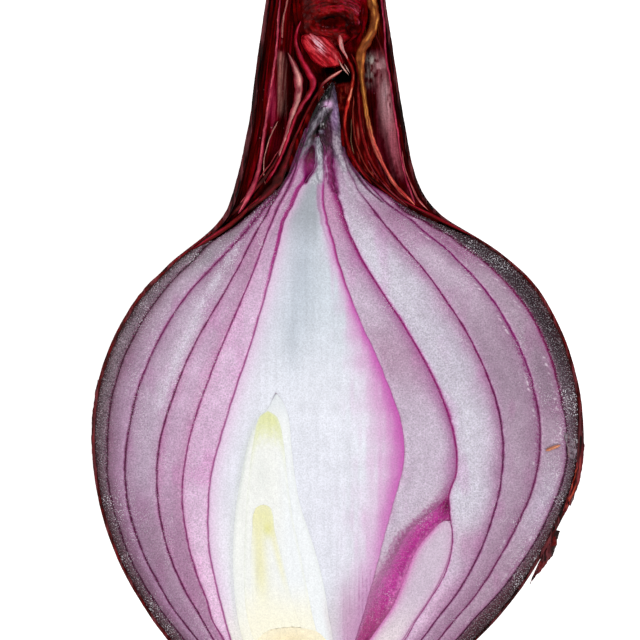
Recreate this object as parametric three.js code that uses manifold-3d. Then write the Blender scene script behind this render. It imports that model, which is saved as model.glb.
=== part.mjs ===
// Halved red onion, lying on its rounded back with the cut face level and facing up.
// Millimetres, +Z up, +Y towards the neck, origin under the middle of the bounding box.
//
// An onion is a stack of leaf bases. Each scale is its own shell between two profiles;
// the shells nest inside each other and close on the basal plate. The dried leaves of the
// neck are troughs with real hollows between them.
import * as THREE from "three";
import { mergeVertices } from "three/addons/utils/BufferGeometryUtils.js";
import Module from "manifold-3d";

const wasm = await Module();
wasm.setup();
const { Manifold, Mesh } = wasm;

// ---- driving dimensions -------------------------------------------------------------
const CUT_HEIGHT = 34.6; // height of the cut face above the table
const ROUNDNESS = 0.96; // depth of a section over its half-width
const GAP = 0.3; // clear space between neighbouring pieces
const SKIN = 0.55; // papery outer tunic
const SHEATH = 0.85; // dried leaf base in the neck
const HOOD = 0.6; // dried leaf that hoods the fleshy cone
const FACETS = 10; // steps round the half section
const FINEST = 0.02; // detail finer than this is merged
const RIM = 1.2; // how far a cutting shape passes the cut face and its own ends

// Profiles on the cut face: [y, left edge, right edge], from the neck to the base.
const TUNIC = [
  [61.8, -9.31, 5.96], [54.9, -10.13, 6.68], [48.9, -11.05, 7.47], [43.65, -11.83, 8.27],
  [40.35, -12.29, 8.76], [37.65, -12.64, 9.16], [34.2, -13.05, 9.71], [30.9, -13.58, 10.29],
  [27.6, -14.25, 10.88], [25.65, -14.67, 11.3], [23.4, -15.25, 11.98], [21.15, -15.9, 13.05],
  [19.2, -16.61, 14.54], [17.1, -17.96, 17.07], [14.4, -20.87, 21.65], [11.4, -24.7, 25.85],
  [6.9, -29.12, 30.28], [0.9, -33.12, 33.62], [-5.1, -35.54, 35.68], [-11.85, -36.85, 36.85],
  [-18.6, -36.85, 36.85], [-25.35, -35.78, 34.74], [-32.1, -33.65, 31.25], [-38.1, -30.71, 27.46],
  [-43.35, -27.31, 23.14], [-47.85, -23.87, 18.47], [-51.6, -20.72, 13.7], [-54.6, -17.72, 8.9],
  [-56.7, -15.15, 5.14], [-58.35, -12.7, 1.85],
];
const SCALE_1 = [
  [21.15, -10.9, 8.27], [19.2, -13.16, 11.28], [17.1, -15.7, 16.22], [14.4, -19.61, 20.8],
  [11.4, -23.77, 25], [6.9, -28.21, 29.43], [0.9, -32.27, 32.77], [-5.1, -34.69, 34.83],
  [-11.85, -36, 36], [-18.6, -36, 36], [-25.35, -34.93, 33.89], [-32.1, -32.8, 30.4],
  [-38.1, -29.86, 26.61], [-43.35, -26.46, 22.29], [-47.85, -23.02, 17.62], [-51.6, -19.87, 12.85],
  [-54.6, -16.87, 8.05], [-56.7, -14.3, 4.29], [-57.6, -13.02, 2.54],
];
const SCALE_2 = [
  [25.65, -6.77, 4.55], [23.4, -7.97, 5.54], [21.15, -10.04, 7.56], [19.2, -12.27, 9.59],
  [17.1, -14.9, 13.15], [14.4, -18.55, 17.65], [11.4, -22, 21.8], [6.9, -26.2, 26.15],
  [0.9, -30.22, 30.2], [-5.1, -32.74, 32.55], [-11.85, -34.14, 33.91], [-18.6, -34.47, 34.07],
  [-25.35, -33.67, 32.21], [-32.1, -31.28, 28.56], [-38.1, -28.3, 24.28], [-43.35, -24.68, 19.74],
  [-47.85, -21.26, 15.55], [-51.6, -18.1, 11.15], [-54.6, -15.32, 6.8], [-56.25, -13.75, 4.2],
];
const SCALE_3 = [
  [27.6, -6.21, 1.72], [25.65, -6.92, 2.28], [23.4, -7.81, 3.93], [21.15, -9.4, 6.08],
  [19.2, -10.99, 8.2], [17.1, -12.7, 11.31], [14.4, -15.03, 14.75], [11.4, -17.8, 18.05],
  [6.9, -22.07, 22.1], [0.9, -26.19, 25.99], [-5.1, -28.96, 28.56], [-11.85, -30.92, 30.16],
  [-18.6, -31.81, 30.1], [-25.35, -31.31, 28.25], [-32.1, -29.16, 24.81], [-38.1, -26.2, 21.05],
  [-43.35, -22.66, 16.86], [-47.85, -19.28, 12.96], [-51.6, -16.37, 8.9], [-54.6, -13.97, 4.71],
  [-55.2, -13.45, 3.81],
];
const SCALE_4 = [
  [38.1, -0.92, -0.55], [37.65, -1.24, -0.42], [34.2, -3.4, 0.16], [30.9, -4.73, 0.45],
  [27.6, -5.92, 0.79], [25.65, -6.61, 1.25], [23.4, -7.79, 2.3], [21.15, -9.06, 3.71],
  [19.2, -10.25, 5.35], [17.1, -11.38, 6.87], [14.4, -12.84, 9.07], [11.4, -14.26, 11.72],
  [6.9, -16.82, 15.2], [0.9, -20.21, 19.13], [-5.1, -23.19, 22.13], [-11.85, -25.57, 24.32],
  [-18.6, -26.83, 24.8], [-25.35, -26.7, 23.64], [-32.1, -25.28, 21.34], [-38.1, -22.75, 18.13],
  [-43.35, -19.86, 14.33], [-47.85, -17.11, 10.46], [-51.6, -14.5, 6.58], [-53.4, -13.3, 4.4],
];
const SCALE_5 = [
  [34.2, -2.68, -1.82], [30.9, -4.37, -1.07], [27.6, -5.65, -0.83], [25.65, -6.22, -0.69],
  [23.4, -6.91, -0.4], [21.15, -7.86, 0.14], [19.2, -8.88, 0.78], [17.1, -9.72, 1.32],
  [14.4, -10.76, 2.44], [11.4, -11.87, 3.73], [6.9, -13.71, 6.38], [0.9, -16.24, 10.21],
  [-5.1, -18.69, 13.66], [-11.85, -21.05, 16.63], [-18.6, -22.78, 17.75], [-23.4, -23.16, 17.25],
  [-25.35, -23.14, 17.44], [-28.65, -22.76, 17.45], [-32.1, -22.09, 17.17], [-38.1, -20.24, 14.76],
  [-43.35, -18.09, 11.37], [-47.85, -15.92, 8.3], [-51.6, -13.52, 4.9], [-52.2, -13.15, 4.18],
];
const SCALE_6 = [
  [29.7, -3.14, -2.69], [27.6, -3.33, -2.2], [25.65, -3.46, -2.08], [23.4, -4.79, -2.02],
  [21.15, -6.06, -2.1], [19.2, -6.96, -1.91], [17.1, -7.93, -1.39], [14.4, -8.65, -0.59],
  [11.4, -9.4, 0.14], [6.9, -10.73, 1.64], [0.9, -12.49, 4.01], [-5.1, -14.32, 6.7],
  [-11.85, -16.43, 9.24], [-18.6, -18.35, 9.98], [-25.35, -19.29, 8.3], [-32.1, -19.07, 6.47],
  [-38.1, -18, 4.91], [-43.35, -16.7, 3.37], [-47.85, -15.1, 2], [-49.8, -13.75, 1.4],
];
const SIDE_BUD = [
  [-27.6, 16.33, 16.48], [-28.2, 15.32, 17], [-29.4, 14.1, 17.17], [-32.1, 11.95, 16.95],
  [-34.35, 10.92, 16.33], [-38.1, 9.47, 14.54], [-43.35, 6.45, 11.14], [-47.85, 3.28, 8.08],
  [-49.8, 2.38, 6.48],
];
const SHOOT = [
  [-8.7, -9.25, -9.1], [-9.9, -9.94, -8.19], [-11.85, -11.37, -7.4], [-12.6, -11.96, -7.28],
  [-18.6, -14.06, -6.71], [-25.35, -15.22, -5.61], [-30.6, -15.68, -3.91], [-32.1, -15.7, -3.43],
  [-38.1, -15.54, -1.93], [-43.35, -14.8, -1.06], [-47.85, -13.15, -0.1],
];
const LEAF_OUTER = [
  [-11.25, -10.52, -10.37], [-11.85, -11.5, -9.4], [-12.15, -11.71, -9.16], [-14.4, -12.39, -8.39],
  [-18.6, -13.07, -7.82], [-25.35, -13.72, -7.04], [-32.1, -14, -5.72], [-38.1, -14.01, -4.52],
  [-43.35, -13.28, -3.43], [-45.6, -12.55, -2.5],
];
const LEAF_INNER = [
  [-25.2, -11.12, -10.97], [-25.35, -11.47, -10.67], [-26.4, -12.67, -9.63],
  [-28.35, -13.16, -9.15], [-32.1, -13.29, -8.51], [-38.1, -12.92, -7.23], [-43.35, -11.68, -5.66],
  [-43.8, -11.5, -5.5],
];
const PLATE = [
  [-43.65, -6.77, -6.62], [-44.1, -8.59, -4.65], [-45.3, -10.4, -2.88], [-47.85, -11.8, -0.85],
  [-51.6, -12.88, 0.97], [-54.6, -13.56, 2.18], [-56.7, -13.89, 2.75], [-58.35, -13.37, 2.35],
  [-59.1, -12.7, 1.7],
];
const SHEATH_OUTER_BORE = [
  [61.8, -7.9, 4.7], [54.9, -8.19, 5.62], [48.9, -8.59, 6.66], [43.65, -9.16, 7.37],
  [40.35, -9.51, 7.74], [37.65, -9.85, 8.05], [34.2, -10.46, 8.47], [30.9, -11.06, 8.95],
  [27.6, -11.64, 9.57], [25.65, -12.02, 9.99], [23.4, -12.64, 10.55], [21.15, -13.6, 11.33],
  [19.2, -14.8, 12.64], [18.6, -15.25, 13.4],
];
const SHEATH_INNER_BORE = [
  [60.9, -5.8, 2.9], [54.9, -6.42, 3.57], [48.9, -6.7, 4.46], [43.65, -5.74, 3.37],
  [40.35, -4.44, 3.54], [37.65, -3.7, 3.84], [34.2, -5.5, 4.18], [30.9, -7.18, 4.65],
  [27.6, -8.72, 5.55], [25.65, -9.75, 6.32], [23.4, -11.01, 7.58], [21.45, -12.32, 9.2],
];
const HOOD_BORE = [
  [40.35, 0.65, 0.95], [39.15, -0.7, 2.12], [37.65, -2.3, 2.2], [34.2, -4.17, 1.45],
  [30.9, -5.56, 1.23], [27.6, -7.15, 1.98], [25.65, -8.12, 2.94], [24.6, -8.65, 3.8],
];
// Bulblet groove: the open furrow between scale 5 and the side bud.
const FURROW_DEPTH = 2.4;
const FURROW = [[-23.1, 17.0, 17.6], [-25.5, 15.0, 17.2], [-27.9, 12.3, 17.2], [-30.8, 9.6, 14.5],
  [-35.4, 6.3, 10.8], [-39.9, 4.3, 8.4], [-43.7, 2.8, 5.9], [-46.9, 2.3, 3.4]];

// Crumpled leaves at the top of the neck: [y, left, right] and how far the top lies below the cut face.
const CREST = [[61.2, -5.2, 2.4], [57.6, -6.1, 3.1], [53.4, -6.6, 4.0], [50.2, -6.3, 3.9], [48.2, -4.6, 2.6]];
const CREST_DROP = [1.0, 0.5, 0.6, 1.1, 2.2];
const CREST_FOLDS = 4;
const FOLD = { at: [-2.75, 43.3], radii: [4.3, 2.45, 2.2], turn: -0.62, drop: 1.0 };

// Torn flap of the tunic, low on the right side.
const FLAP = [[33.6, -29.3], [33.1, -31.2], [32.2, -33.3], [30.5, -35.3], [28.6, -37.3], [26.8, -35.8],
  [28.4, -33.2], [30.4, -30.2]];
const FLAP_HEIGHT = 2.4; // below the cut face
const FLAP_THICKNESS = 0.6;

// Rough stubs of the dried roots, under the basal plate: [x, z below the cut face, radius, length].
const ROOTS = [[-11.6, 1.6, 1.0, 2.4], [-8.6, 1.2, 1.1, 3.0], [-5.4, 1.4, 1.1, 2.6], [-2.2, 1.3, 1.0, 2.2],
  [-9.8, 3.9, 1.1, 2.8], [-6.6, 4.3, 1.2, 3.2], [-3.6, 3.8, 1.1, 2.6]];
const ROOT_TOP = -57.6;

// ---- shapes -------------------------------------------------------------------------
// A closed geometry as a solid. Its faces may wind either way.
function toSolid(geometry) {
  const bare = new THREE.BufferGeometry();
  bare.setAttribute("position", geometry.getAttribute("position"));
  if (geometry.index) bare.setIndex(geometry.index);
  const merged = mergeVertices(bare, 1e-4);
  const points = merged.getAttribute("position").array;
  const faces = [];
  for (let i = 0; i < merged.index.count; i += 3) {
    const [a, b, c] = [0, 1, 2].map((k) => merged.index.getX(i + k));
    if (a !== b && b !== c && a !== c) faces.push([a, b, c]);
  }
  const make = (tris) =>
    new Manifold(new Mesh({ numProp: 3, vertProperties: Float32Array.from(points), triVerts: Uint32Array.from(tris.flat()) }));
  const first = make(faces);
  return first.volume() > 0 ? first : make(faces.map(([a, b, c]) => [a, c, b]));
}

// Joins closed sections of the same point count, and caps both ends.
function loft(sections) {
  const n = sections[0].length;
  const faces = [];
  for (let j = 0; j + 1 < sections.length; j++)
    for (let i = 0; i < n; i++) {
      const a = j * n + i, b = j * n + ((i + 1) % n), c = a + n, d = b + n;
      faces.push([a, b, d], [a, d, c]);
    }
  const cap = (j, flip) => {
    const ring = sections[j].map((p) => new THREE.Vector2(p[0], p[2]));
    for (const [a, b, c] of THREE.ShapeUtils.triangulateShape(ring, []))
      faces.push(flip ? [j * n + a, j * n + c, j * n + b] : [j * n + a, j * n + b, j * n + c]);
  };
  cap(0, false);
  cap(sections.length - 1, true);
  const geometry = new THREE.BufferGeometry();
  geometry.setAttribute("position", new THREE.Float32BufferAttribute(sections.flat(2), 3));
  geometry.setIndex(faces.flat());
  return toSolid(geometry);
}

// Half-elliptic body under the cut face. grow moves its wall out (or in, when negative);
// over carries it past the cut face, and past its ends, as a cutting shape.
function halfBody(profile, { grow = 0, over = false, ends = [grow, grow], floor = -9 } = {}) {
  const rows = profile.map((r) => [...r]);
  const last = rows.length - 1;
  rows[0][0] += ends[0];
  rows[last][0] -= ends[1];
  const sections = rows.map(([y, left, right]) => {
    const c = (left + right) / 2;
    const w = Math.max((right - left) / 2 + grow, 0.06);
    const d = Math.max(((right - left) / 2) * ROUNDNESS + grow, 0.06);
    const ring = [];
    if (over) ring.push([c + w, y, CUT_HEIGHT + RIM]);
    for (let i = 0; i <= FACETS; i++) {
      const t = (Math.PI * i) / FACETS;
      ring.push([c + w * Math.cos(t), y, CUT_HEIGHT - d * Math.sin(t)]);
    }
    if (over) ring.push([c - w, y, CUT_HEIGHT + RIM]);
    return ring;
  });
  const made = loft(sections);
  return floor > -9 ? made.trimByPlane([0, 0, 1], floor) : made;
}

// The largest of the pieces a cut leaves.
function largest(m) {
  const all = m.decompose().sort((a, b) => b.volume() - a.volume());
  return all[0].simplify(FINEST).decompose().sort((a, b) => b.volume() - a.volume())[0];
}

const from = (profile, lowest) => profile.filter((r) => r[0] >= lowest);

// ---- solids shared by several pieces --------------------------------------------------
const cut = {
  scale1: halfBody(SCALE_1, { grow: GAP, over: true, floor: SKIN }),
  scale2: halfBody(SCALE_2, { grow: GAP, over: true }),
  scale3: halfBody(SCALE_3, { grow: GAP, over: true }),
  scale4: halfBody(SCALE_4, { grow: GAP, over: true }),
  scale5: halfBody(SCALE_5, { grow: GAP, over: true }),
  scale6: halfBody(SCALE_6, { grow: GAP, over: true }),
  bud: halfBody(SIDE_BUD, { grow: GAP, over: true }),
  shoot: halfBody(SHOOT, { grow: GAP, over: true }),
  leafOuter: halfBody(LEAF_OUTER, { grow: GAP, over: true }),
  leafInner: halfBody(LEAF_INNER, { grow: GAP, over: true }),
  plate: halfBody(PLATE, { grow: GAP, over: true, ends: [GAP, 6] }),
};
const flesh = [cut.scale1, cut.scale2, cut.scale3, cut.scale4];
const cutAll = (m, tools) => tools.reduce((a, b) => a.subtract(b), m);

const made = {};

// Tunic: thin papery skin over the back of the bulb and round the neck, open at both ends.
{
  const bore = halfBody(TUNIC, { grow: -SKIN, over: true, ends: [RIM, RIM], floor: SKIN });
  let skin = cutAll(halfBody(TUNIC, { floor: 0 }).subtract(bore), [cut.plate]);
  skin = largest(skin);
  const outline = new THREE.Shape(FLAP.map(([x, y]) => new THREE.Vector2(x, y)));
  const flap = new THREE.ExtrudeGeometry(outline, { depth: FLAP_THICKNESS, bevelEnabled: false });
  flap.translate(0, 0, CUT_HEIGHT - FLAP_HEIGHT - FLAP_THICKNESS);
  const flat = toSolid(flap).subtract(halfBody(TUNIC, { grow: -SKIN / 2, over: true }));
  made.outer_skin = largest(skin.add(flat));
}

// Fleshy scales, outermost first. Each is what its own profile holds and the next one doesn't.
made.scale_1 = largest(cutAll(halfBody(SCALE_1, { floor: SKIN + GAP }), [cut.scale2, cut.plate]));
made.scale_2 = largest(cutAll(halfBody(SCALE_2), [cut.scale3, cut.plate]));
made.scale_3 = largest(cutAll(halfBody(SCALE_3), [cut.scale4, cut.plate]));
made.scale_4 = largest(cutAll(halfBody(SCALE_4), [cut.scale5, cut.plate]));
const furrow = loft(
  FURROW.map(([y, l, r]) => [
    [r, y, CUT_HEIGHT + RIM], [r, y, CUT_HEIGHT - FURROW_DEPTH],
    [l + 0.5, y, CUT_HEIGHT - FURROW_DEPTH * 0.55], [l, y, CUT_HEIGHT], [l, y, CUT_HEIGHT + RIM],
  ]),
);
made.scale_5 = largest(cutAll(halfBody(SCALE_5), [cut.scale6, cut.bud, furrow, cut.plate]));
made.scale_6 = largest(cutAll(halfBody(SCALE_6), [cut.shoot, cut.plate]));

// Bulblet in the axil of scale 5.
made.side_bud = largest(cutAll(halfBody(SIDE_BUD).intersect(halfBody(SCALE_5)), [cut.scale6, cut.plate]));

// Young shoot in the heart: a sheath and two nested leaves.
made.shoot_sheath = largest(cutAll(halfBody(SHOOT), [cut.leafOuter, cut.plate]));
made.shoot_leaf_outer = largest(cutAll(halfBody(LEAF_OUTER), [cut.leafInner, cut.plate]));
made.shoot_leaf_inner = largest(cutAll(halfBody(LEAF_INNER), [cut.plate]));

// Basal plate: the disc-like stem all scales grow from, with the stubs of its roots.
{
  let plate = halfBody(PLATE);
  for (const [x, drop, r, length] of ROOTS) {
    const stub = new THREE.ConeGeometry(r, length + 2.4, 7);
    stub.rotateX(Math.PI);
    stub.translate(x, ROOT_TOP - (length + 2.4) / 2 + 1.4, CUT_HEIGHT - drop);
    plate = plate.add(toSolid(stub));
  }
  made.basal_plate = largest(plate.trimByPlane([0, 0, -1], -CUT_HEIGHT));
}

// Dried leaf bases of the neck, from the outside in.
const neckFloor = SHEATH_OUTER_BORE[SHEATH_OUTER_BORE.length - 1][0];
const neckOuter = from(TUNIC, neckFloor);
made.neck_sheath_outer = largest(
  cutAll(
    halfBody(neckOuter, { grow: -SKIN - GAP, ends: [0, 0] }).subtract(
      halfBody(SHEATH_OUTER_BORE, { over: true, ends: [RIM, RIM] }),
    ),
    flesh,
  ),
);
made.neck_sheath_middle = largest(
  cutAll(
    halfBody(SHEATH_OUTER_BORE, { grow: -GAP, ends: [0, 0] }).subtract(
      halfBody(SHEATH_OUTER_BORE, { grow: -GAP - SHEATH, over: true, ends: [RIM, RIM] }),
    ),
    flesh,
  ),
);
const withinMiddle = halfBody(SHEATH_OUTER_BORE, { grow: -2 * GAP - SHEATH, over: true, ends: [RIM, RIM] });
made.neck_sheath_inner = largest(
  cutAll(
    halfBody(SHEATH_INNER_BORE, { grow: SHEATH, ends: [0, 0] })
      .intersect(withinMiddle)
      .subtract(halfBody(SHEATH_INNER_BORE, { over: true, ends: [RIM, RIM] })),
    flesh,
  ),
);
const withinInner = halfBody(SHEATH_INNER_BORE, { grow: -GAP, over: true, ends: [0, RIM] });
made.neck_hood = largest(
  cutAll(
    halfBody(HOOD_BORE, { grow: HOOD, ends: [HOOD, 0] })
      .intersect(withinInner)
      .subtract(halfBody(HOOD_BORE, { over: true, ends: [0, RIM] })),
    flesh,
  ),
);
const hoodClear = halfBody(HOOD_BORE, { grow: HOOD + GAP, over: true, ends: [HOOD + GAP, 0] });

// Crumpled leaf at the top of the neck: its upper side is thrown into folds.
{
  const sections = CREST.map(([y, left, right], j) => {
    const c = (left + right) / 2, w = (right - left) / 2;
    const ring = [];
    for (let i = 0; i <= FACETS; i++) {
      const t = (Math.PI * i) / FACETS;
      ring.push([c + w * Math.cos(t), y, CUT_HEIGHT - CREST_DROP[j] - 0.5 - w * 0.8 * Math.sin(t)]);
    }
    for (let i = 1; i < FACETS; i++) {
      const u = i / FACETS;
      const z = CUT_HEIGHT - CREST_DROP[j] - 0.35 + 0.35 * Math.cos(2 * Math.PI * CREST_FOLDS * u + j);
      ring.push([left + u * (right - left), y, z]);
    }
    return ring;
  });
  made.neck_leaf_crumpled = largest(loft(sections).intersect(withinInner).subtract(hoodClear));
}
{
  const lump = new THREE.SphereGeometry(1, 14, 9);
  lump.rotateX(Math.PI / 2);
  lump.scale(...FOLD.radii);
  lump.rotateZ(FOLD.turn);
  lump.translate(FOLD.at[0], FOLD.at[1], CUT_HEIGHT - FOLD.drop - FOLD.radii[2]);
  const crest = halfBody(CREST, { grow: GAP, over: true, ends: [0, GAP] });
  made.neck_leaf_folded = largest(
    toSolid(lump).intersect(withinInner).subtract(hoodClear).subtract(crest),
  );
}

// ---- finish: colours, names, and the origin under the middle of the box ---------------
const COLOURS = {
  outer_skin: 0x5e1626, neck_sheath_outer: 0x35101a, neck_sheath_middle: 0x7c2a3a, neck_sheath_inner: 0x8c3826,
  neck_hood: 0x6a1f28, neck_leaf_crumpled: 0x98152c, neck_leaf_folded: 0xb23a44, scale_1: 0x575058,
  scale_2: 0xb49ab2, scale_3: 0xc8b8cc, scale_4: 0xd3cbda, scale_5: 0xd6d0de, scale_6: 0xe2e4ec,
  side_bud: 0xe0dce0, shoot_sheath: 0xe6e8e4, shoot_leaf_outer: 0xe4e6c4, shoot_leaf_inner: 0xe0dfa0,
  basal_plate: 0xd9c39a,
};

const low = [Infinity, Infinity], high = [-Infinity, -Infinity];
for (const m of Object.values(made)) {
  const b = m.boundingBox();
  for (const k of [0, 1]) {
    low[k] = Math.min(low[k], b.min[k]);
    high[k] = Math.max(high[k], b.max[k]);
  }
}
const shift = [-(low[0] + high[0]) / 2, -(low[1] + high[1]) / 2, 0];

const onion = new THREE.Group();
onion.name = "halved_red_onion";
for (const [name, m] of Object.entries(made)) {
  const mesh = m.translate(shift).getMesh();
  const n = mesh.numProp;
  const position = new Float32Array(mesh.numVert * 3);
  for (let i = 0; i < mesh.numVert; i++) position.set(mesh.vertProperties.subarray(i * n, i * n + 3), i * 3);
  const geometry = new THREE.BufferGeometry();
  geometry.setAttribute("position", new THREE.BufferAttribute(position, 3));
  geometry.setIndex(new THREE.BufferAttribute(Uint32Array.from(mesh.triVerts), 1));
  geometry.computeVertexNormals();
  const body = new THREE.Mesh(geometry, new THREE.MeshStandardMaterial({ color: COLOURS[name], roughness: 0.6 }));
  body.name = name;
  onion.add(body);
}

export default onion;
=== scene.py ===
import math

import bpy
import numpy as np
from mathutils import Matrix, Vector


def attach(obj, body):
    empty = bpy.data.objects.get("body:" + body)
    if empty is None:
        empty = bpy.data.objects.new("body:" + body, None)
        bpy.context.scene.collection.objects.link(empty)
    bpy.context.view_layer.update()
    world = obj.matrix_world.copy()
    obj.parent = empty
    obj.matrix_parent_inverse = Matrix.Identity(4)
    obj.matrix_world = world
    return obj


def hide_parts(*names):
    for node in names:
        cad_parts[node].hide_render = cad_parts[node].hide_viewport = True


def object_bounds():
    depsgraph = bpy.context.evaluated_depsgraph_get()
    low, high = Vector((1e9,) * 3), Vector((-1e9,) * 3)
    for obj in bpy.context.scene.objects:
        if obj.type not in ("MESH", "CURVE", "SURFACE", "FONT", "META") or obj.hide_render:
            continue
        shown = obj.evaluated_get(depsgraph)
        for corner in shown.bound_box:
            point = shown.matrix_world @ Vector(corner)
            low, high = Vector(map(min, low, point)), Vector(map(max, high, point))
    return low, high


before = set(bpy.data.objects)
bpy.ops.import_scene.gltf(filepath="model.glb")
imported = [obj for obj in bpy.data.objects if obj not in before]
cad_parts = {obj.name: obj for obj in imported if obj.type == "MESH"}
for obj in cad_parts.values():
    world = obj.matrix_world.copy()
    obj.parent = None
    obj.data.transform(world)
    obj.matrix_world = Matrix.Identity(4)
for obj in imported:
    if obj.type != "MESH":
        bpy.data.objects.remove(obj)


def plain(b):
    return [[float(v) for v in c] for c in b]


cad_box = plain(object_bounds())
TOP = float(cad_box[1][2]) * 1000.0  # height of the cut face, mm

# The cut face is laid out on a plan grid of 0.15 mm squares: u runs to the right, v from the neck down to
# the base. All shape functions below work in plan units, heights in mm under or over the cut face.
UNIT = 0.15
U0, V0 = 337.65, 336.0


# ---- noise --------------------------------------------------------------------------
def hashed(ix, iy, seed):
    h = (ix.astype(np.int64) * 374761393 + iy.astype(np.int64) * 668265263 + seed * 1442695041) & 0xFFFFFFFF
    h = ((h ^ (h >> 13)) * 1274126177) & 0xFFFFFFFF
    h = (h ^ (h >> 16)) & 0xFFFFFFFF
    return h.astype(np.float64) / 4294967295.0


def noise(x, y, seed=0):
    """Smooth value noise, -1 to 1."""
    x = np.asarray(x, float)
    y = np.asarray(y, float)
    x, y = np.broadcast_arrays(x, y)
    ix, iy = np.floor(x), np.floor(y)
    fx, fy = x - ix, y - iy
    fx, fy = fx * fx * (3 - 2 * fx), fy * fy * (3 - 2 * fy)
    a, b = hashed(ix, iy, seed), hashed(ix + 1, iy, seed)
    c, d = hashed(ix, iy + 1, seed), hashed(ix + 1, iy + 1, seed)
    return 2 * ((a * (1 - fx) + b * fx) * (1 - fy) + (c * (1 - fx) + d * fx) * fy) - 1


def fbm(x, y, seed=0, octaves=3):
    s, a, t = 0.0, 1.0, 0.0
    for o in range(octaves):
        s = s + a * noise(np.asarray(x) * 2**o, np.asarray(y) * 2**o, seed + 17 * o)
        t += a
        a *= 0.5
    return s / t


# ---- curves -------------------------------------------------------------------------
def curve(points):
    """Smooth curve u(v) through (v, u) points, straight beyond its ends."""
    ys = np.array([p[0] for p in points], float)
    xs = np.array([p[1] for p in points], float)
    m = np.gradient(xs, ys) if len(ys) > 2 else np.full(2, (xs[1] - xs[0]) / (ys[1] - ys[0]))

    def f(v):
        v = np.asarray(v, float)
        i = np.clip(np.searchsorted(ys, v) - 1, 0, len(ys) - 2)
        h = ys[i + 1] - ys[i]
        t = np.clip((v - ys[i]) / h, 0, 1)
        out = (
            (2 * t**3 - 3 * t**2 + 1) * xs[i]
            + (t**3 - 2 * t**2 + t) * h * m[i]
            + (3 * t**2 - 2 * t**3) * xs[i + 1]
            + (t**3 - t**2) * h * m[i + 1]
        )
        out = np.where(v < ys[0], xs[0] + (v - ys[0]) * m[0], out)
        return np.where(v > ys[-1], xs[-1] + (v - ys[-1]) * m[-1], out)

    f.v0, f.v1 = ys[0], ys[-1]
    return f


def steps(points):
    """Piecewise linear value along v."""
    ys = [p[0] for p in points]
    xs = [p[1] for p in points]
    return lambda v: np.interp(v, ys, xs)


def smooth(a, b, x):
    t = np.clip((np.asarray(x, float) - a) / (b - a), 0, 1)
    return t * t * (3 - 2 * t)


OUT_L = curve([(-80, 276), (-40, 271.5), (0, 265.5), (40, 259.5), (80, 254), (120, 249), (140, 245), 
    (160, 241), (180, 236), (200, 230), (210, 226), (220, 219.5), (230, 210.5), (240, 198.5), (250, 185.5), 
    (260, 173), (280, 153), (300, 135), (320, 122.3), (340, 112), (360, 104), (380, 98), (400, 94), 
    (420, 91.6), (440, 91), (460, 92), (480, 94.5), (500, 98), (520, 103), (540, 109.5), (560, 117.5), 
    (580, 127.3), (600, 139), (620, 152), (638, 165.5), (660, 182.5), (680, 199.5), (700, 219.5), (713, 235), 
    (722, 246), (727, 251)])
OUT_R = curve([(-80, 377), (-40, 381), (0, 386), (40, 392), (80, 398), (100, 401), (120, 404.5), (140, 408), 
    (160, 411.8), (180, 417.5), (190, 421.8), (200, 428), (210, 436.5), (220, 448.5), (230, 465), (240, 482), 
    (250, 497), (260, 510), (270, 521.5), (280, 531.5), (290, 539.5), (300, 546), (320, 557), (340, 566), 
    (360, 572.7), (380, 578), (400, 581.8), (420, 583.6), (440, 584.3), (460, 583.3), (480, 580), 
    (490, 576.5), (500, 571.5), (510, 567), (520, 562), (530, 557), (540, 551.5), (550, 546), (560, 540), 
    (570, 534), (580, 527.5), (590, 520.7), (600, 513), (620, 496.5), (638, 479), (660, 455), (680, 429), 
    (700, 397), (712, 374), (720, 361), (727, 353)])
COLLAR_L = curve([(195, 265), (202, 257), (207, 251), (214, 243.5), (219.5, 236.5), (227, 226.5)])
COLLAR_R = curve([(190, 386), (198, 397), (206, 409), (212, 422), (217, 436), (222, 448)])
L1 = curve([(165, 292.5), (176, 287), (185, 281), (190, 277), (196, 269.5), (203, 262), (208.7, 255), 
    (218, 243), (230, 229), (245, 207), (260, 193.4), (275, 177.5), (290, 164.1), (305, 152.7), (320, 142.7), 
    (335, 134.4), (350, 127.1), (365, 121), (380, 116.3), (395, 112.4), (410, 109.8), (425, 108.1), 
    (440, 107.3), (455, 107), (470, 107.1), (485, 108.6), (500, 111.4), (515, 115.1), (530, 119.5), 
    (545, 124.7), (560, 130.9), (575, 138.6), (590, 147.3), (605, 157.1), (620, 168.1), (638, 182.5), 
    (660, 200), (680, 217), (700, 235.5), (711, 246)])
R1 = curve([(165, 368), (176, 372), (183, 377), (189, 382.5), (196, 389), (203.6, 397), (214, 409), 
    (220.5, 422.7), (228.6, 436), (235.7, 449.5), (245, 461.5), (260, 482.3), (275, 498.7), (290, 512.7), 
    (305, 524.6), (320, 533.9), (335, 542), (350, 548.2), (365, 553), (380, 557), (395, 560.5), (410, 563.9), 
    (425, 566.6), (440, 567.4), (455, 567.1), (470, 565.2), (485, 560.8), (500, 555.4), (515, 548.7), 
    (530, 541.6), (545, 533.1), (560, 523.1), (575, 512.8), (590, 501.3), (605, 487.9), (620, 473.3), 
    (638, 458), (660, 436), (680, 412), (700, 383), (710, 368.5), (718, 355.8)])
L2 = curve([(150, 297), (165, 291.5), (176, 287.5), (186, 282), (195, 275), (202.6, 269.3), (209.6, 263), 
    (216, 258), (224.4, 251), (232.8, 244), (240.5, 237.5), (248, 230.3), (260, 218.8), (275, 204.7), 
    (290, 190.9), (305, 179.6), (320, 169.7), (335, 161.1), (350, 153.5), (365, 146.9), (380, 141), 
    (395, 136.3), (410, 132.6), (425, 129.5), (440, 126.9), (455, 125.4), (470, 125), (485, 125.6), 
    (500, 127.2), (515, 130.2), (530, 134.6), (545, 139.8), (560, 146), (575, 153.8), (590, 162.1), 
    (605, 170.9), (620, 181.7), (638, 196), (660, 213), (680, 228.5), (697, 242), (704, 248)])
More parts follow.
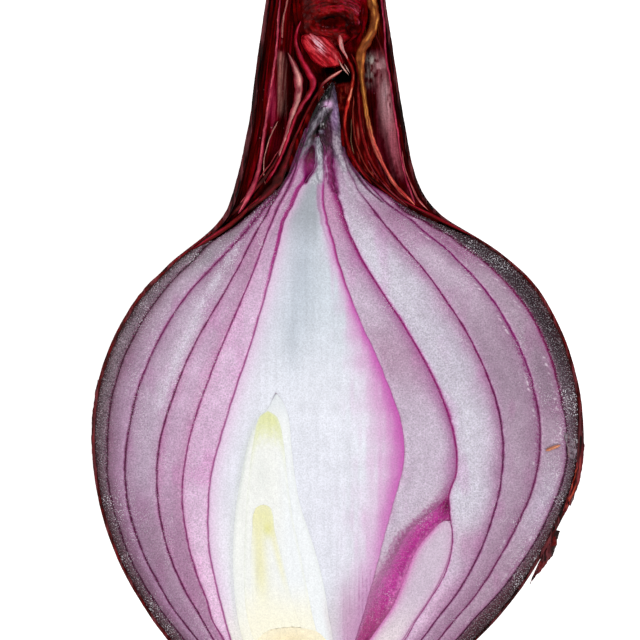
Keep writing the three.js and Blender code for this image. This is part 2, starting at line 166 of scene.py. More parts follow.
R2 = curve([(150, 349), (158, 350), (167, 354), (175, 360), (183, 366.4), (192, 375.4), (201, 384), 
    (210.7, 397.1), (218.8, 409.7), (230.4, 422.6), (240, 434.8), (250, 447.5), (260, 457.4), (275, 472.5), 
    (290, 484.9), (305, 496.3), (320, 505.4), (335, 513.6), (350, 520.9), (365, 526.7), (380, 531.3), 
    (395, 535), (410, 538.1), (425, 539.8), (440, 540.1), (455, 539.4), (470, 537.1), (485, 533.4), 
    (500, 528.3), (515, 521.8), (530, 514.5), (545, 506.9), (560, 498.2), (575, 489.4), (590, 479.1), 
    (605, 467.6), (620, 454.4), (638, 440), (660, 419), (680, 397), (696, 372), (705, 361), (711, 355.4)])
L3 = curve([(82, 331.5), (90, 326), (100, 319.5), (108, 315), (122, 309), (133, 305), (143, 301), 
    (154, 297.5), (165.4, 293.4), (173, 290), (179.5, 286), (189, 281), (197.7, 275.5), (208, 269.6), 
    (218.8, 264), (229.3, 257.6), (242.6, 250.7), (251.8, 245.9), (260, 242), (280, 231.1), (300, 219.9), 
    (320, 207.9), (340, 196.8), (360, 187), (380, 178.8), (400, 171.7), (420, 165.2), (440, 160.2), 
    (460, 157.2), (480, 156.9), (500, 157.7), (520, 160.5), (530, 162.6), (545, 166.5), (560, 171.2), 
    (575, 177.4), (590, 184.7), (605, 193.3), (620, 202), (638, 212.5), (660, 227), (680, 241), (692, 249)])
R3 = curve([(82, 334), (90, 336), (100, 337.5), (110, 339), (125, 340.3), (140, 341.3), (155, 343.5), 
    (168, 347), (180, 353), (192, 359.3), (203.6, 368.6), (220.5, 381.5), (237.5, 395.7), (252.7, 409.3), 
    (266, 420.9), (280, 431.9), (300, 445.9), (320, 459.4), (340, 470.9), (360, 480.6), (380, 489.1), 
    (400, 496), (420, 500.5), (440, 502.9), (460, 503), (480, 501.2), (500, 497.5), (520, 491.8), 
    (540, 484.8), (560, 476.1), (580, 465.3), (600, 452.1), (620, 436.2), (638, 423), (660, 402.5), 
    (680, 381.5), (692, 365.5), (700, 356.5), (704, 352.8)])
L4 = curve([(107, 320.5), (118, 313.5), (130, 308.5), (140, 304.3), (152, 300), (169, 295.3), (181.6, 290.5), 
    (193.5, 285), (203, 279.8), (213, 275.3), (223.7, 270.9), (234, 266.6), (244, 263.1), (260, 257.5), 
    (280, 249.8), (300, 241.4), (320, 232.9), (340, 224.3), (360, 216.1), (380, 208.4), (400, 200.9), 
    (420, 194.5), (440, 189), (460, 185.1), (480, 182.6), (500, 182.1), (520, 184), (540, 187.5), 
    (560, 192.2), (580, 198.7), (600, 206.5), (620, 212.3), (638, 222.5), (655, 231.5), (672, 242.5), 
    (684, 250)])
R4 = curve([(108, 325.5), (115, 328), (125, 330), (140, 331.3), (150, 332), (170, 331.9), (180, 333.6), 
    (193, 336.3), (205, 340.1), (226, 346.2), (234, 349.6), (243.8, 354.5), (260, 362.3), (280, 374.5), 
    (300, 387.1), (320, 400.5), (340, 412.7), (360, 424.2), (380, 434.3), (400, 443.1), (420, 449.9), 
    (440, 454.8), (460, 456.8), (478, 455.1), (488, 451), (496, 449), (509, 449.6), (521.6, 450.3), 
    (535.7, 452), (548, 451.5), (565, 447.6), (580, 441.4), (600, 429.4), (620, 416.1), (638, 405.5), 
    (655, 393), (670, 380.5), (682, 364.5), (691, 354.5), (697, 350.4)])
R4S = curve([(108, 325), (115, 327.5), (125, 329.5), (140, 330.8), (150, 331.5), (170, 333), (180, 334.5), 
    (193, 337.5), (205, 341.5), (226, 347.2), (234, 350.5), (243.8, 355.2), (260, 362), (280, 373.5), 
    (300, 386), (320, 399), (340, 411.3), (360, 423), (380, 433.2), (400, 442.5), (420, 449.5), (440, 453.8), 
    (460, 455.5), (472, 455.3), (480, 454), (488.5, 451.5), (495, 448), (501, 443.5), (508, 436), 
    (516.5, 426.5), (526.7, 414.5), (537, 405.5), (551, 398.5), (565, 391), (578, 383), (593, 375.5), 
    (610, 369), (625, 363), (640, 357.5), (655, 353), (668, 348.8), (680, 344.5)])
L5 = curve([(137, 316.8), (150, 315.6), (157, 315), (166, 314.5), (171, 312), (176, 308.5), (183.7, 303.3), 
    (192, 297.8), (199, 294.4), (206, 291.9), (213, 287.8), (220, 284.8), (229, 282.3), (240, 279.3), 
    (249.6, 277), (260, 274.5), (280, 269.1), (300, 263.8), (320, 257.8), (340, 251.9), (360, 245.3), 
    (380, 238.7), (400, 232.2), (420, 225.7), (440, 219.9), (460, 214.5), (480, 210.5), (500, 208.4), 
    (520, 207.9), (540, 208.4), (560, 210.8), (580, 214.9), (600, 220), (620, 225), (638, 230), (655, 237), 
    (668, 246), (676, 252)])
R5 = curve([(136, 319), (143, 321.3), (150, 322.8), (160.5, 323.4), (173, 324.3), (185, 324), (197, 323.6), 
    (209.6, 325.2), (220, 327.8), (234, 332), (244.7, 335), (260, 338.6), (280, 345), (300, 352.3), 
    (320, 360), (340, 369), (360, 378), (380, 386.5), (400, 394.5), (420, 400.5), (440, 404), (455, 404.5), 
    (470, 402.5), (485, 398.5), (499, 394.8), (516.5, 389.5), (530, 386), (551, 380.5), (575, 374.5), 
    (600, 367.5), (627, 359.5), (640, 355.5), (655, 351), (668, 346.5), (680, 342.5)])
BUD_L = curve([(520, 446.5), (523, 441), (526.7, 437), (537, 427), (549.7, 417.5), (563.7, 411), 
    (577.8, 405.5), (593, 399.5), (609.6, 391.5), (621, 383.5), (640, 370), (655, 359.5), (668, 356), 
    (682, 361.5)])
BUD_R = curve([(520, 447.5), (523, 450.5), (526.7, 451.8), (535.7, 452.2), (548, 451), (565, 446.5), 
    (580, 440), (600, 428.5), (620, 415), (638, 404), (655, 391.5), (670, 378.5), (682, 362.5)])
SHEATH_L = curve([(394, 276), (398, 273.5), (408, 268), (416, 261), (423, 256), (438, 249.5), (455, 245), 
    (473, 241.5), (496, 237.5), (520, 234.5), (545, 233), (570, 233), (600, 235), (620, 238), (640, 243), 
    (655, 250)])
SHEATH_R = curve([(394, 277), (398, 280.5), (408, 286), (416, 288.5), (423, 289.5), (446, 291.5), 
    (465, 293.5), (480, 295.5), (504, 300), (529, 308), (554, 316), (579, 322.5), (600, 326.5), (612, 328), 
    (630, 331.5), (640, 333), (655, 337)])
LEAF_L = curve([(411, 267.5), (415, 261), (423, 257), (435, 254.5), (446, 252.5), (473, 249), (500, 246.5), 
    (540, 244.5), (580, 244), (610, 246), (630, 250.5), (640, 254)])
LEAF_R = curve([(411, 268.5), (415, 275), (423, 279.5), (435, 282.3), (446, 284), (480, 287.5), (510, 291.5), 
    (550, 299.5), (590, 307.5), (620, 313.5), (632, 317), (640, 321)])
CORE_L = curve([(504, 263), (507, 257), (512, 254.2), (530, 252.4), (560, 250.4), (590, 251.5), (612, 255.5), 
    (628, 261)])
CORE_R = curve([(504, 264), (507, 269.6), (512, 271.8), (530, 274.6), (545, 278.6), (570, 285), (600, 292), 
    (628, 301)])
PLATE_L = curve([(627, 292.5), (629, 283), (633, 275), (640, 266.5), (655, 259), (675, 253), (695, 248.5), 
    (712, 245), (720, 246), (730, 253)])
PLATE_R = curve([(627, 293.5), (629, 304), (633, 312), (640, 320.5), (655, 332), (675, 342), (695, 350), 
    (712, 356), (720, 355.5), (730, 349)])
N3_L = curve([(-76, 285), (-40, 283.5), (0, 281.5), (30.6, 277.5), (53.6, 276), (69, 274), (92, 271), 
    (115, 266.5), (138, 262.5), (165, 257.5), (184, 252), (202, 243), (212, 236)])
N3_R = curve([(-76, 369), (-40, 373.5), (0, 380.5), (30.6, 385), (69, 389.5), (99.5, 393), (130, 397.3), 
    (160.7, 403.3), (180, 408), (191, 411.5), (205, 419), (212, 427)])
N5_L = curve([(-70, 299), (-20, 294), (0, 292.5), (20, 294), (35, 297), (50.5, 301), (65.8, 307.5), 
    (76.5, 312.3), (83, 313.2), (91.8, 310.3), (104, 303.2), (121, 294), (135, 287.5), (150, 280.5), 
    (168, 271), (182, 263), (193, 255.5)])
N5_R = curve([(-70, 357), (-20, 363), (0, 367), (20, 367.5), (35, 363), (50, 359.5), (69, 361.5), (92, 364), 
    (107, 365.4), (122.5, 367.3), (138, 370.5), (153, 375), (168, 381.2), (184, 391), (193, 399)])
N6_L = curve([(67, 342), (70, 339), (75, 333), (79.6, 326.5), (90, 319.3), (101, 313.4), (113, 307.5), 
    (127, 302), (138, 296.5), (152, 290), (165, 283.5), (172, 280)])
N6_R = curve([(67, 344), (70, 349), (75, 351.8), (79.6, 352.7), (91.8, 351.3), (107, 347.5), (122.5, 345.7), 
    (133, 346), (145, 348.8), (159, 353.5), (166, 358), (172, 363)])

def wavy(f, seed, amp=0.35, run=9.0, torn=0.0):
    """A boundary with the small irregular wander of living tissue, torn where it has dried in the cone."""

    def g(v):
        v = np.asarray(v, float)
        rag = torn * (noise(v / 3.6, 7.5, seed + 2) + 0.7 * noise(v / 7.5, 9.5, seed + 3)) * smooth(268, 225, v)
        return f(v) + amp * noise(v / run, 0.5, seed) + 0.4 * amp * noise(v / (run * 0.33), 3.5, seed + 1) + rag

    g.v0, g.v1 = f.v0, f.v1
    return g


L1, R1 = wavy(L1, 11, 0.3), wavy(R1, 12, 0.4)
L2, R2 = wavy(L2, 13, 0.3), wavy(R2, 14, 0.4)
L3, R3 = wavy(L3, 15, 0.3), wavy(R3, 16, 0.35)
L4, R4 = wavy(L4, 17, 0.3), wavy(R4, 18, 0.3, torn=0.7)
L5, R5 = wavy(L5, 19, 0.4, torn=0.6), wavy(R5, 20, 0.5, torn=0.6)

# Rim of the tunic on the cut face: how far in it reaches, left and right.
RIM_L = steps([(-80, 4), (180, 5.5), (215, 6), (250, 5.8), (300, 4.8), (400, 3.6), (560, 3.8), (640, 4.4), (727, 2.5)])
RIM_R = steps([(-80, 4), (180, 4), (215, 5), (230, 5.5), (260, 5.0), (330, 4.2), (395, 4.2), (430, 6.2), (500, 6.5),
               (560, 4.2), (640, 4.0), (727, 2.5)])


def outer1_L(v):
    v = np.asarray(v, float)
    collar = COLLAR_L(v)
    shell = OUT_L(v) + RIM_L(v)
    return np.where(v < 222, np.maximum(collar, shell), shell + np.maximum(0, 6.5 - 0.35 * (v - 222)) * (v < 241))


def outer1_R(v):
    v = np.asarray(v, float)
    shell = OUT_R(v) - RIM_R(v)
    return np.where(v < 224, np.minimum(COLLAR_R(v), shell), shell)


def inner_L(f):
    return lambda v: np.minimum(f(v), np.where(np.asarray(v) > 640, PLATE_L(v) - 0.3, 1e9))


def inner_R(f):
    return lambda v: np.maximum(f(v), np.where(np.asarray(v) > 640, PLATE_R(v) + 0.3, -1e9))


# ---- colour, as seen in even light (sRGB 0 to 255) -------------------------------------
def rgb(*c):
    return np.array(c, float)


# colour of each skin between two scales in the lower and the upper half of its run, and its thickness
LINE = {"R": [None, rgb(64, 2, 42), rgb(94, 0, 64), rgb(92, 0, 64), rgb(136, 8, 94), rgb(164, 78, 142)],
        "L": [None, rgb(62, 6, 38), rgb(74, 0, 48), rgb(88, 0, 58), rgb(130, 34, 98), rgb(150, 60, 120)]}
LINE_HIGH = {"R": [None, rgb(116, 0, 72), rgb(124, 0, 90), rgb(118, 0, 80), rgb(140, 6, 100), rgb(164, 78, 142)],
             "L": [None, rgb(62, 4, 38), rgb(116, 20, 84), rgb(102, 6, 70), rgb(126, 22, 94), rgb(144, 44, 112)]}
THICK = {"R": [0, 1.3, 1.35, 1.12, 0.98, 1.0], "L": [0, 1.1, 1.35, 1.1, 1.02, 1.1]}
# outer tint, body and inner tint of scales 1 to 5 at the middle, left and right limb
FLESH = {
    (1, "L"): (rgb(64, 38, 44), rgb(110, 93, 101), rgb(118, 86, 104)),
    (1, "R"): (rgb(50, 24, 30), rgb(98, 82, 93), rgb(112, 84, 100)),
    (2, "L"): (rgb(118, 84, 104), rgb(160, 130, 155), rgb(184, 146, 178)),
    (2, "R"): (rgb(148, 100, 134), rgb(168, 144, 163), rgb(180, 146, 172)),
    (3, "L"): (rgb(156, 120, 148), rgb(179, 157, 179), rgb(192, 154, 184)),
    (3, "R"): (rgb(148, 108, 138), rgb(168, 144, 164), rgb(182, 146, 176)),
    (4, "L"): (rgb(186, 132, 170), rgb(186, 154, 182), rgb(190, 142, 176)),
    (4, "R"): (rgb(160, 112, 148), rgb(202, 196, 210), rgb(206, 168, 202)),
    (5, "L"): (rgb(210, 158, 196), rgb(211, 180, 208), rgb(220, 178, 212)),
    (5, "R"): (rgb(158, 92, 142), rgb(196, 181, 199), rgb(210, 186, 209)),
}
FADE_OUT = {(1, "L"): 4.5, (1, "R"): 6.0, (2, "L"): 7.0, (2, "R"): 5.5, (3, "L"): 9.5, (3, "R"): 9.5, (4, "L"): 5.5,
            (4, "R"): 11.5, (5, "L"): 4.5, (5, "R"): 8.5}
FADE_IN = {(1, "L"): 4.0, (1, "R"): 4.0, (2, "L"): 6.0, (2, "R"): 5, (3, "L"): 5, (3, "R"): 5, (4, "L"): 8,
           (4, "R"): 3.2, (5, "L"): 3.5, (5, "R"): 2.6}


def mix(a, b, t):
    t = np.asarray(t, float)[..., None]
    return a * (1 - t) + b * t


def scale_colour(k, side, u, v, do, di):
    """Colour of the cut flesh of scale k, from the distances to its outer and inner skin."""
    out, body, inn = FLESH[(k, side)]
    u, v, do, di = np.broadcast_arrays(*[np.asarray(q, float) for q in (u, v, do, di)])
    c = np.broadcast_to(body, u.shape + (3,)).copy()
    top = smooth(430, 270, v)
    low = smooth(470, 640, v)

    def zone(mid, run):
        return np.exp(-(((v - mid) / run) ** 2))

    left, right = float(side == "L"), float(side == "R")
    if k == 1:
        c = mix(c, rgb(134, 116, 130), 0.75 * top * left)
        c = mix(c, rgb(46, 32, 38), 0.9 * smooth(420, 330, v) * right)
        c = mix(c, rgb(86, 52, 62), 0.85 * smooth(470, 550, v) * right)
        c = mix(c, rgb(82, 56, 62), 0.75 * smooth(490, 560, v) * left)
        c = mix(c, rgb(74, 38, 48), 0.6 * smooth(560, 600, v) * right)
        c = mix(c, rgb(120, 110, 116), 0.9 * smooth(272, 250, v) * left)
    elif k == 2:
        c = mix(c, rgb(182, 164, 181), (0.75 * left + 0.1 * right) * top)
        c = mix(c, rgb(130, 84, 116), (0.85 * smooth(400, 540, v)) * left)
        c = mix(c, rgb(148, 138, 148), 0.9 * smooth(284, 254, v) * left)
        c = mix(c, rgb(120, 112, 116), 0.85 * smooth(250, 232, v) * left)
        c = mix(c, rgb(146, 104, 132), 0.35 * low * right)
        c = mix(c, rgb(138, 76, 118), 0.8 * smooth(280, 240, v) * right)
        c = mix(c, rgb(134, 110, 129), 0.8 * zone(383, 40) * right)
        c = mix(c, rgb(182, 166, 186), 0.85 * zone(500, 36) * right)
    elif k == 3:
        c = mix(c, rgb(198, 179, 199), 0.75 * zone(355, 46) * left + 0.6 * zone(268, 46) * right)
        c = mix(c, rgb(152, 120, 144), 0.8 * smooth(305, 262, v) * left)
        c = mix(c, rgb(150, 117, 140), 0.75 * zone(548, 40) * left)
        c = mix(c, rgb(154, 130, 150), 0.7 * zone(378, 44) * right)
        c = mix(c, rgb(180, 156, 177), 0.5 * zone(495, 34) * right)
        c = mix(c, rgb(166, 126, 154), 0.7 * low)
    elif k == 4:
        c = mix(c, rgb(204, 176, 202), 0.7 * zone(375, 40) * left)
        c = mix(c, rgb(148, 110, 136), 0.75 * smooth(300, 250, v) * left)
        c = mix(c, rgb(154, 108, 140), 0.8 * smooth(450, 600, v) * left)
        c = mix(c, rgb(186, 177, 193), 0.6 * zone(350, 42) * right)
        c = mix(c, rgb(194, 168, 188), 0.7 * zone(545, 22) * right)
        c = mix(c, rgb(228, 196, 222), 0.9 * smooth(555, 600, v) * right)
    elif k == 5:
        c = mix(c, rgb(192, 160, 188), (0.9 * left + 0.8 * right) * smooth(330, 240, v))
        c = mix(c, rgb(206, 165, 199), 0.6 * zone(455, 40) * left)
        c = mix(c, rgb(238, 208, 232), 0.95 * low * left)
        c = mix(c, rgb(170, 134, 160), 0.75 * zone(355, 36) * right)
    c = mix(c, rgb(156, 120, 146), (0.0, 0.0, 0.25 * left + 0.7 * right, 0.8, 0.8 * left + 0.25 * right, 0.75 * left)[k] * smooth(258, 204, v))
    fo, fi = FADE_OUT[(k, side)], FADE_IN[(k, side)]
    drift = 1 + 0.35 * noise(v / 26.0, k * 3.1 + (side == "R"), 31)
    c = mix(c, out, 0.95 * np.exp(-((np.maximum(do, 0) / (fo * drift)) ** 1.5)))
    c = mix(c, inn, 0.9 * np.exp(-((np.maximum(di, 0) / fi) ** 1.4)))
    # veins and bands that run along the scale
    th = do + di
    t = do / np.maximum(th, 1e-6)
    band = fbm(t * th / 5.0 + 7 * k, v / 60.0, 40 + k, 3)
    c = c * (1 + 0.035 * band[..., None] * np.array([1.0, 1.25, 1.05]))
    mott = fbm(u / 9.0, v / 9.0, 60 + k, 3)
    c = c * (1 + (0.05 if k > 1 else 0.13) * mott[..., None] * np.array([1.0, 1.15, 1.05]))
    if k > 1:
        blush = smooth(0.1, 0.7, fbm(u / 16.0, v / 34.0, 80 + k, 2))
        c = mix(c, c * np.array([1.0, 0.93, 0.98]), blush)
    return c


def line(c, d, k, width=0.95, strength=1.0, side="R", v=None):
    """Coloured skin between two scales, seen end on: thick and thin, dark and pale along its run."""
    if v is None:
        return mix(c, LINE[side][k], strength * np.exp(-((d / width) ** 2)))
    width = width * THICK[side][k] * (1 + 0.36 * noise(v / 6.5, k * 3.3, 97) + 0.22 * noise(v / 2.1, k * 5.3, 98))
    strength = strength * (0.90 + 0.10 * noise(v / 9.0, k * 4.3, 99))
    high = smooth(250, 200, v)
    width = width * (1 + 0.7 * high)
    if side == "R" and k == 4:
        width = width * (1 + 0.9 * smooth(250, 300, v) * smooth(480, 420, v))
    if side == "L" and k == 2:
        width = width * (1 + 0.8 * smooth(310, 250, v))
    tone = mix(np.broadcast_to(LINE[side][k], c.shape), LINE_HIGH[side][k], smooth(430, 350, v))
    if k == 1:
        dry = smooth(285, 258, v) * (1.0 if side == "L" else 0.6)
        width = width * (1 + 0.9 * dry)
        tone = mix(tone, rgb(40, 2, 22), 0.8 * dry)
        high = high * 0.3
    return mix(c, mix(tone, rgb(84, 4, 56), 0.7 * high), strength * np.exp(-((d / width) ** 2)))


# where the fleshy limbs disappear under the dried leaves
FLESH_L = curve([(60, 338), (82, 331), (100, 319), (114, 311.5), (127.6, 304), (141, 297.6), (154, 291.6), (173, 284.2), (185, 277.4),
                 (195, 269.4), (210, 254), (226, 235), (240, 214)])
FLESH_R = curve([(60, 333), (82, 336), (100, 339.6), (120, 342.8), (147, 344.6), (155, 347.2), (161, 350), (169, 355.4), (183, 369.4), (192, 383.4), (205, 403),
                 (214, 419), (222, 436), (230, 454), (240, 477.5)])


def held_L(f):
    g = lambda v: np.maximum(f(v), np.where(np.asarray(v) < 240, FLESH_L(v), -1e9))
    return g


def held_R(f):
    g = lambda v: np.minimum(f(v), np.where(np.asarray(v) < 240, FLESH_R(v), 1e9))
    return g


# paths where the painted glint specks gather thickest: points, width, strength
GLINT_BANDS = [([(240, 240), (262, 228), (290, 211), (320, 196), (350, 181), (380, 170), (405, 162)], 10.0, 1.0),
            ([(210, 352), (240, 366), (280, 392), (330, 424), (380, 452), (430, 470), (520, 466)], 13.0, 0.75),
            ([(330, 232), (380, 208), (430, 196), (500, 190)], 9.0, 0.6), ([(300, 170), (330, 156), (380, 140), (430, 132)], 7.0, 0.5),
            ([(420, 560), (470, 556), (520, 538), (560, 516)], 8.0, 0.7)]


def wet_glint_mask(u, v):
    """How much painted glint the cut flesh gets where its cells have burst and glisten, 0 to 1."""
    u, v = np.broadcast_arrays(np.asarray(u, float), np.asarray(v, float))
    w = 0.16 + 0.35 * smooth(0.05, 0.5, fbm(u / 13.0, v / 20.0, 171, 3))
    for path, wide, k in GLINT_BANDS:
        f = curve(path)
        w = np.maximum(w, k * np.exp(-(((u - f(v)) / wide) ** 2)) * smooth(f.v0 - 20, f.v0 + 10, v) * smooth(f.v1 + 30, f.v1 - 10, v))
    return w * (0.08 + 0.92 * smooth(176, 206, v))


def bump(u, v, cu, cv, ru, rv, turn=0.0):
    """Soft round spot, 1 in the middle and 0 outside."""
    du, dv = np.asarray(u, float) - cu, np.asarray(v, float) - cv
    c, s = math.cos(turn), math.sin(turn)
    return np.exp(-(((du * c + dv * s) / ru) ** 2 + ((-du * s + dv * c) / rv) ** 2))


def ribbon(c, u, v, path, width, colour, k=1.0, seed=0):
    """Paint a band along a path of (v, u) points; the width is a number or one for each point."""
    f = curve(path)
    wide = np.interp(v, [p[0] for p in path], width) if np.ndim(width) else width
    wob = 0.4 * noise(v / 4.0, 0.0, 900 + seed) + 0.25 * noise(v / 1.7, 0.0, 930 + seed)
    inside = smooth(f.v0 - 2, f.v0 + 1.5, v) * smooth(f.v1 + 2, f.v1 - 1.5, v)
    return mix(c, colour, k * inside * np.exp(-(np.abs((u - f(v) - wob) / (0.56 * wide)) ** 3.2)))


POCKET = [(146, 313), (152, 311.5), (158, 310.3), (165, 309.6), (172, 308.6), (178, 307), (183, 306)]
POCKET_W = [3, 6.5, 10.5, 12.0, 9.5, 4.5, 2.0]
GREY_BAND = [(104, 329), (108, 326.5), (114, 321.8), (120, 317), (128, 312.8), (138, 309.4), (148, 306), (158, 302)]
RIGHT_BAND = [(146, 328), (155, 328.6), (165, 329.8), (175, 331.0), (185, 333.6), (194, 336.8)]
RIGHT_BAND_W = [6.5, 9, 11, 11, 9, 6]


def cone(u, v, c):
    """The tip of the fleshy cone has dried lilac-grey and is painted black as shade at its very tip, with a torn hollow
    and a dark magenta pocket.
    """
    u, v = np.broadcast_arrays(np.asarray(u, float), np.asarray(v, float))
    n = fbm(u / 3.4, v / 6.0, 91, 3)
    m = fbm(u / 1.3, v / 2.0, 93, 2)
    grey = mix(np.broadcast_to(rgb(52, 42, 52), c.shape), rgb(112, 98, 112), smooth(-0.45, 0.5, n + 0.5 * m))
    c = mix(c, grey, smooth(170, 140, v + 8 * n))
    pale = mix(np.broadcast_to(rgb(108, 88, 108), c.shape), rgb(170, 156, 168), smooth(-0.4, 0.5, m + 0.6 * n))
    pale = mix(pale, mix(np.broadcast_to(rgb(112, 78, 120), c.shape), rgb(160, 132, 168), smooth(-0.4, 0.5, m)), smooth(136, 122, v))
    pale = mix(pale, mix(np.broadcast_to(rgb(58, 40, 64), c.shape), rgb(104, 82, 112), smooth(-0.4, 0.5, m)), smooth(112, 102, v))
    c = ribbon(c, u, v, [(86, 334.5), (100, 336.2), (115, 334.6), (130, 334.8), (145, 336.6), (158, 340), (172, 345)], [5, 6, 7, 7.5, 8, 7, 6], pale, 0.95, 1)
    c = mix(c, mix(np.broadcast_to(rgb(168, 160, 172), c.shape), rgb(206, 202, 212), smooth(-0.4, 0.4, m)),
            0.6 * smooth(336, 341, u - 0.3 * (v - 160)) * smooth(150, 166, v) * smooth(215, 190, v))
    # painted shade where the tip lies under the dried leaves: black at the very tip, down its left side and along its
    # right edge
    tip_shade = np.maximum(bump(u, v, 323.5, 94, 7.0, 15, 0.45), bump(u, v, 332, 81, 7.0, 6.0))
    tip_shade = np.maximum(tip_shade, 0.9 * bump(u, v, 311, 118, 4.0, 15, 0.55))
    c = mix(c, mix(np.broadcast_to(rgb(14, 8, 10), c.shape), rgb(60, 44, 54), smooth(0.1, 0.7, m)), np.clip(1.5 * tip_shade, 0, 0.97))
    c = mix(c, rgb(18, 6, 8), 0.95 * smooth(3.4, 1.2, u - FLESH_L(v)) * smooth(134, 124, v))
    c = mix(c, rgb(30, 10, 16), 0.9 * smooth(2.6, 0.8, FLESH_R(v) - u) * smooth(150, 138, v + 6 * m))
    # torn hollow painted dark as shade, with a few grey crumbs
    hollow = np.clip(1.6 * bump(u, v, 321.5, 134, 7.5, 13, 0.12), 0, 1)
    c = mix(c, mix(np.broadcast_to(rgb(38, 8, 24), c.shape), rgb(84, 28, 60), smooth(0.0, 0.6, n + 0.6 * m)), 0.97 * hollow)
    c = mix(c, rgb(62, 8, 40), 0.9 * np.clip(1.5 * bump(u, v, 328, 135, 3.4, 10, 0.05), 0, 1))
    band = mix(np.broadcast_to(rgb(60, 54, 62), c.shape), rgb(124, 116, 126), smooth(-0.3, 0.4, noise((u + 0.75 * v) / 1.6, (v - u) / 9.0, 95)))
    c = ribbon(c, u, v, GREY_BAND, [5, 7, 8, 8, 7, 6, 6.5, 7], band, 0.95, 2)
    for cu, cv, ru, rv, col, k in ((321, 121.5, 1.9, 1.6, (188, 188, 198), 0.9), (321.4, 131.4, 2.8, 1.8, (148, 148, 164), 0.95), (323.5, 138.5, 2.4, 2.2, (70, 54, 64), 0.7),
                                   (315.5, 134, 1.6, 1.6, (90, 60, 78), 0.7), (318, 145, 2.2, 2.4, (176, 174, 184), 0.7)):
        c = mix(c, rgb(*col), k * bump(u, v, cu, cv, ru, rv))
    c = ribbon(c, u, v, [(109, 332.5), (114, 329.0), (120, 324.6), (127, 319.0), (134, 314.5), (139, 312.5)], [2.5, 4.0, 4.6, 4.4, 5, 4], mix(np.broadcast_to(rgb(24, 6, 12), c.shape), rgb(74, 24, 34), smooth(0.1, 0.7, m)), 0.92, 11)
    # a fresh lilac piece
    c = mix(c, rgb(206, 160, 200), np.clip(1.6 * bump(u, v, 328.4, 104.2, 4.2, 3.6, 0.2), 0, 0.96))
    c = mix(c, rgb(190, 184, 192), 0.85 * bump(u, v, 325.6, 107.8, 2.6, 2.2, -0.4))
    # painted white glints on the black tip
    for cu, cv in ((329.6, 87.0), (325.8, 90.0), (323.8, 94.0), (321.8, 96.2), (326.4, 98.0), (319.0, 103.5), (331.6, 80.6), (335.6, 79.4)):
        c = mix(c, rgb(214, 214, 212), 0.9 * bump(u, v, cu, cv, 0.85, 0.8))
    # white tip of the next scale in
    white = mix(np.broadcast_to(rgb(140, 138, 148), c.shape), rgb(198, 198, 206), smooth(-0.4, 0.3, m))
    c = ribbon(c, u, v, [(137, 316.5), (142, 317.6), (147, 318.2), (154, 319.2), (164, 319.8), (174, 319.0), (184, 316.0)], [2.5, 4.5, 6.0, 7.5, 9.5, 11.0, 12.0], white, 0.92, 3)
    c = mix(c, rgb(52, 22, 38), 0.85 * bump(u, v, 322.5, 146.5, 1.2, 5.0, -0.1))
    # magenta pocket, and the thick magenta skin that leads down from it
    deep = mix(np.broadcast_to(rgb(92, 4, 52), c.shape), rgb(136, 10, 96), smooth(152, 172, v + 5 * n + 0.6 * (u - 310)))
    c = ribbon(c, u, v, POCKET, POCKET_W, deep, 1.0, 4)
    c = mix(c, rgb(44, 8, 26), 0.7 * bump(u, v, 311.5, 149, 3.0, 4.0, 0.3))
    c = mix(c, rgb(162, 130, 158), 0.8 * bump(u, v, 315.2, 146.5, 1.5, 4.0, -0.2))
    c = mix(c, rgb(200, 120, 176), 0.7 * bump(u, v, 311.5, 165.5, 1.1, 1.1))
    skin = L5(v) - 1.5
    c = mix(c, rgb(146, 16, 106), 0.96 * np.exp(-(np.abs((u - skin) / np.interp(v, [170, 200, 250, 300], [2.5, 2.1, 1.3, 0.8])) ** 3)) * smooth(168, 180, v) * smooth(310, 240, v))
    # magenta limb on the right, mottled
    mott = smooth(-0.1, 0.5, noise(u / 1.2, v / 2.2, 96) + 0.3 * n)
    limb = mix(np.broadcast_to(rgb(110, 8, 76), c.shape), rgb(172, 120, 154), 0.5 * mott)
    limb = mix(limb, mix(np.broadcast_to(rgb(54, 14, 34), c.shape), rgb(112, 60, 92), mott), smooth(160, 148, v))
    c = ribbon(c, u, v, RIGHT_BAND, RIGHT_BAND_W, limb, 0.95, 5)
    dash = 0.75 * smooth(-0.3, 0.6, noise((v + 0.8 * u) / 4.4, u / 2.0, 92))
    c = ribbon(c, u, v, [(146, 324.5), (156, 325.6), (166, 326.2), (176, 327), (186, 328.8)], 2.0, mix(np.broadcast_to(rgb(96, 20, 70), c.shape), rgb(204, 190, 206), dash), 0.8, 12)
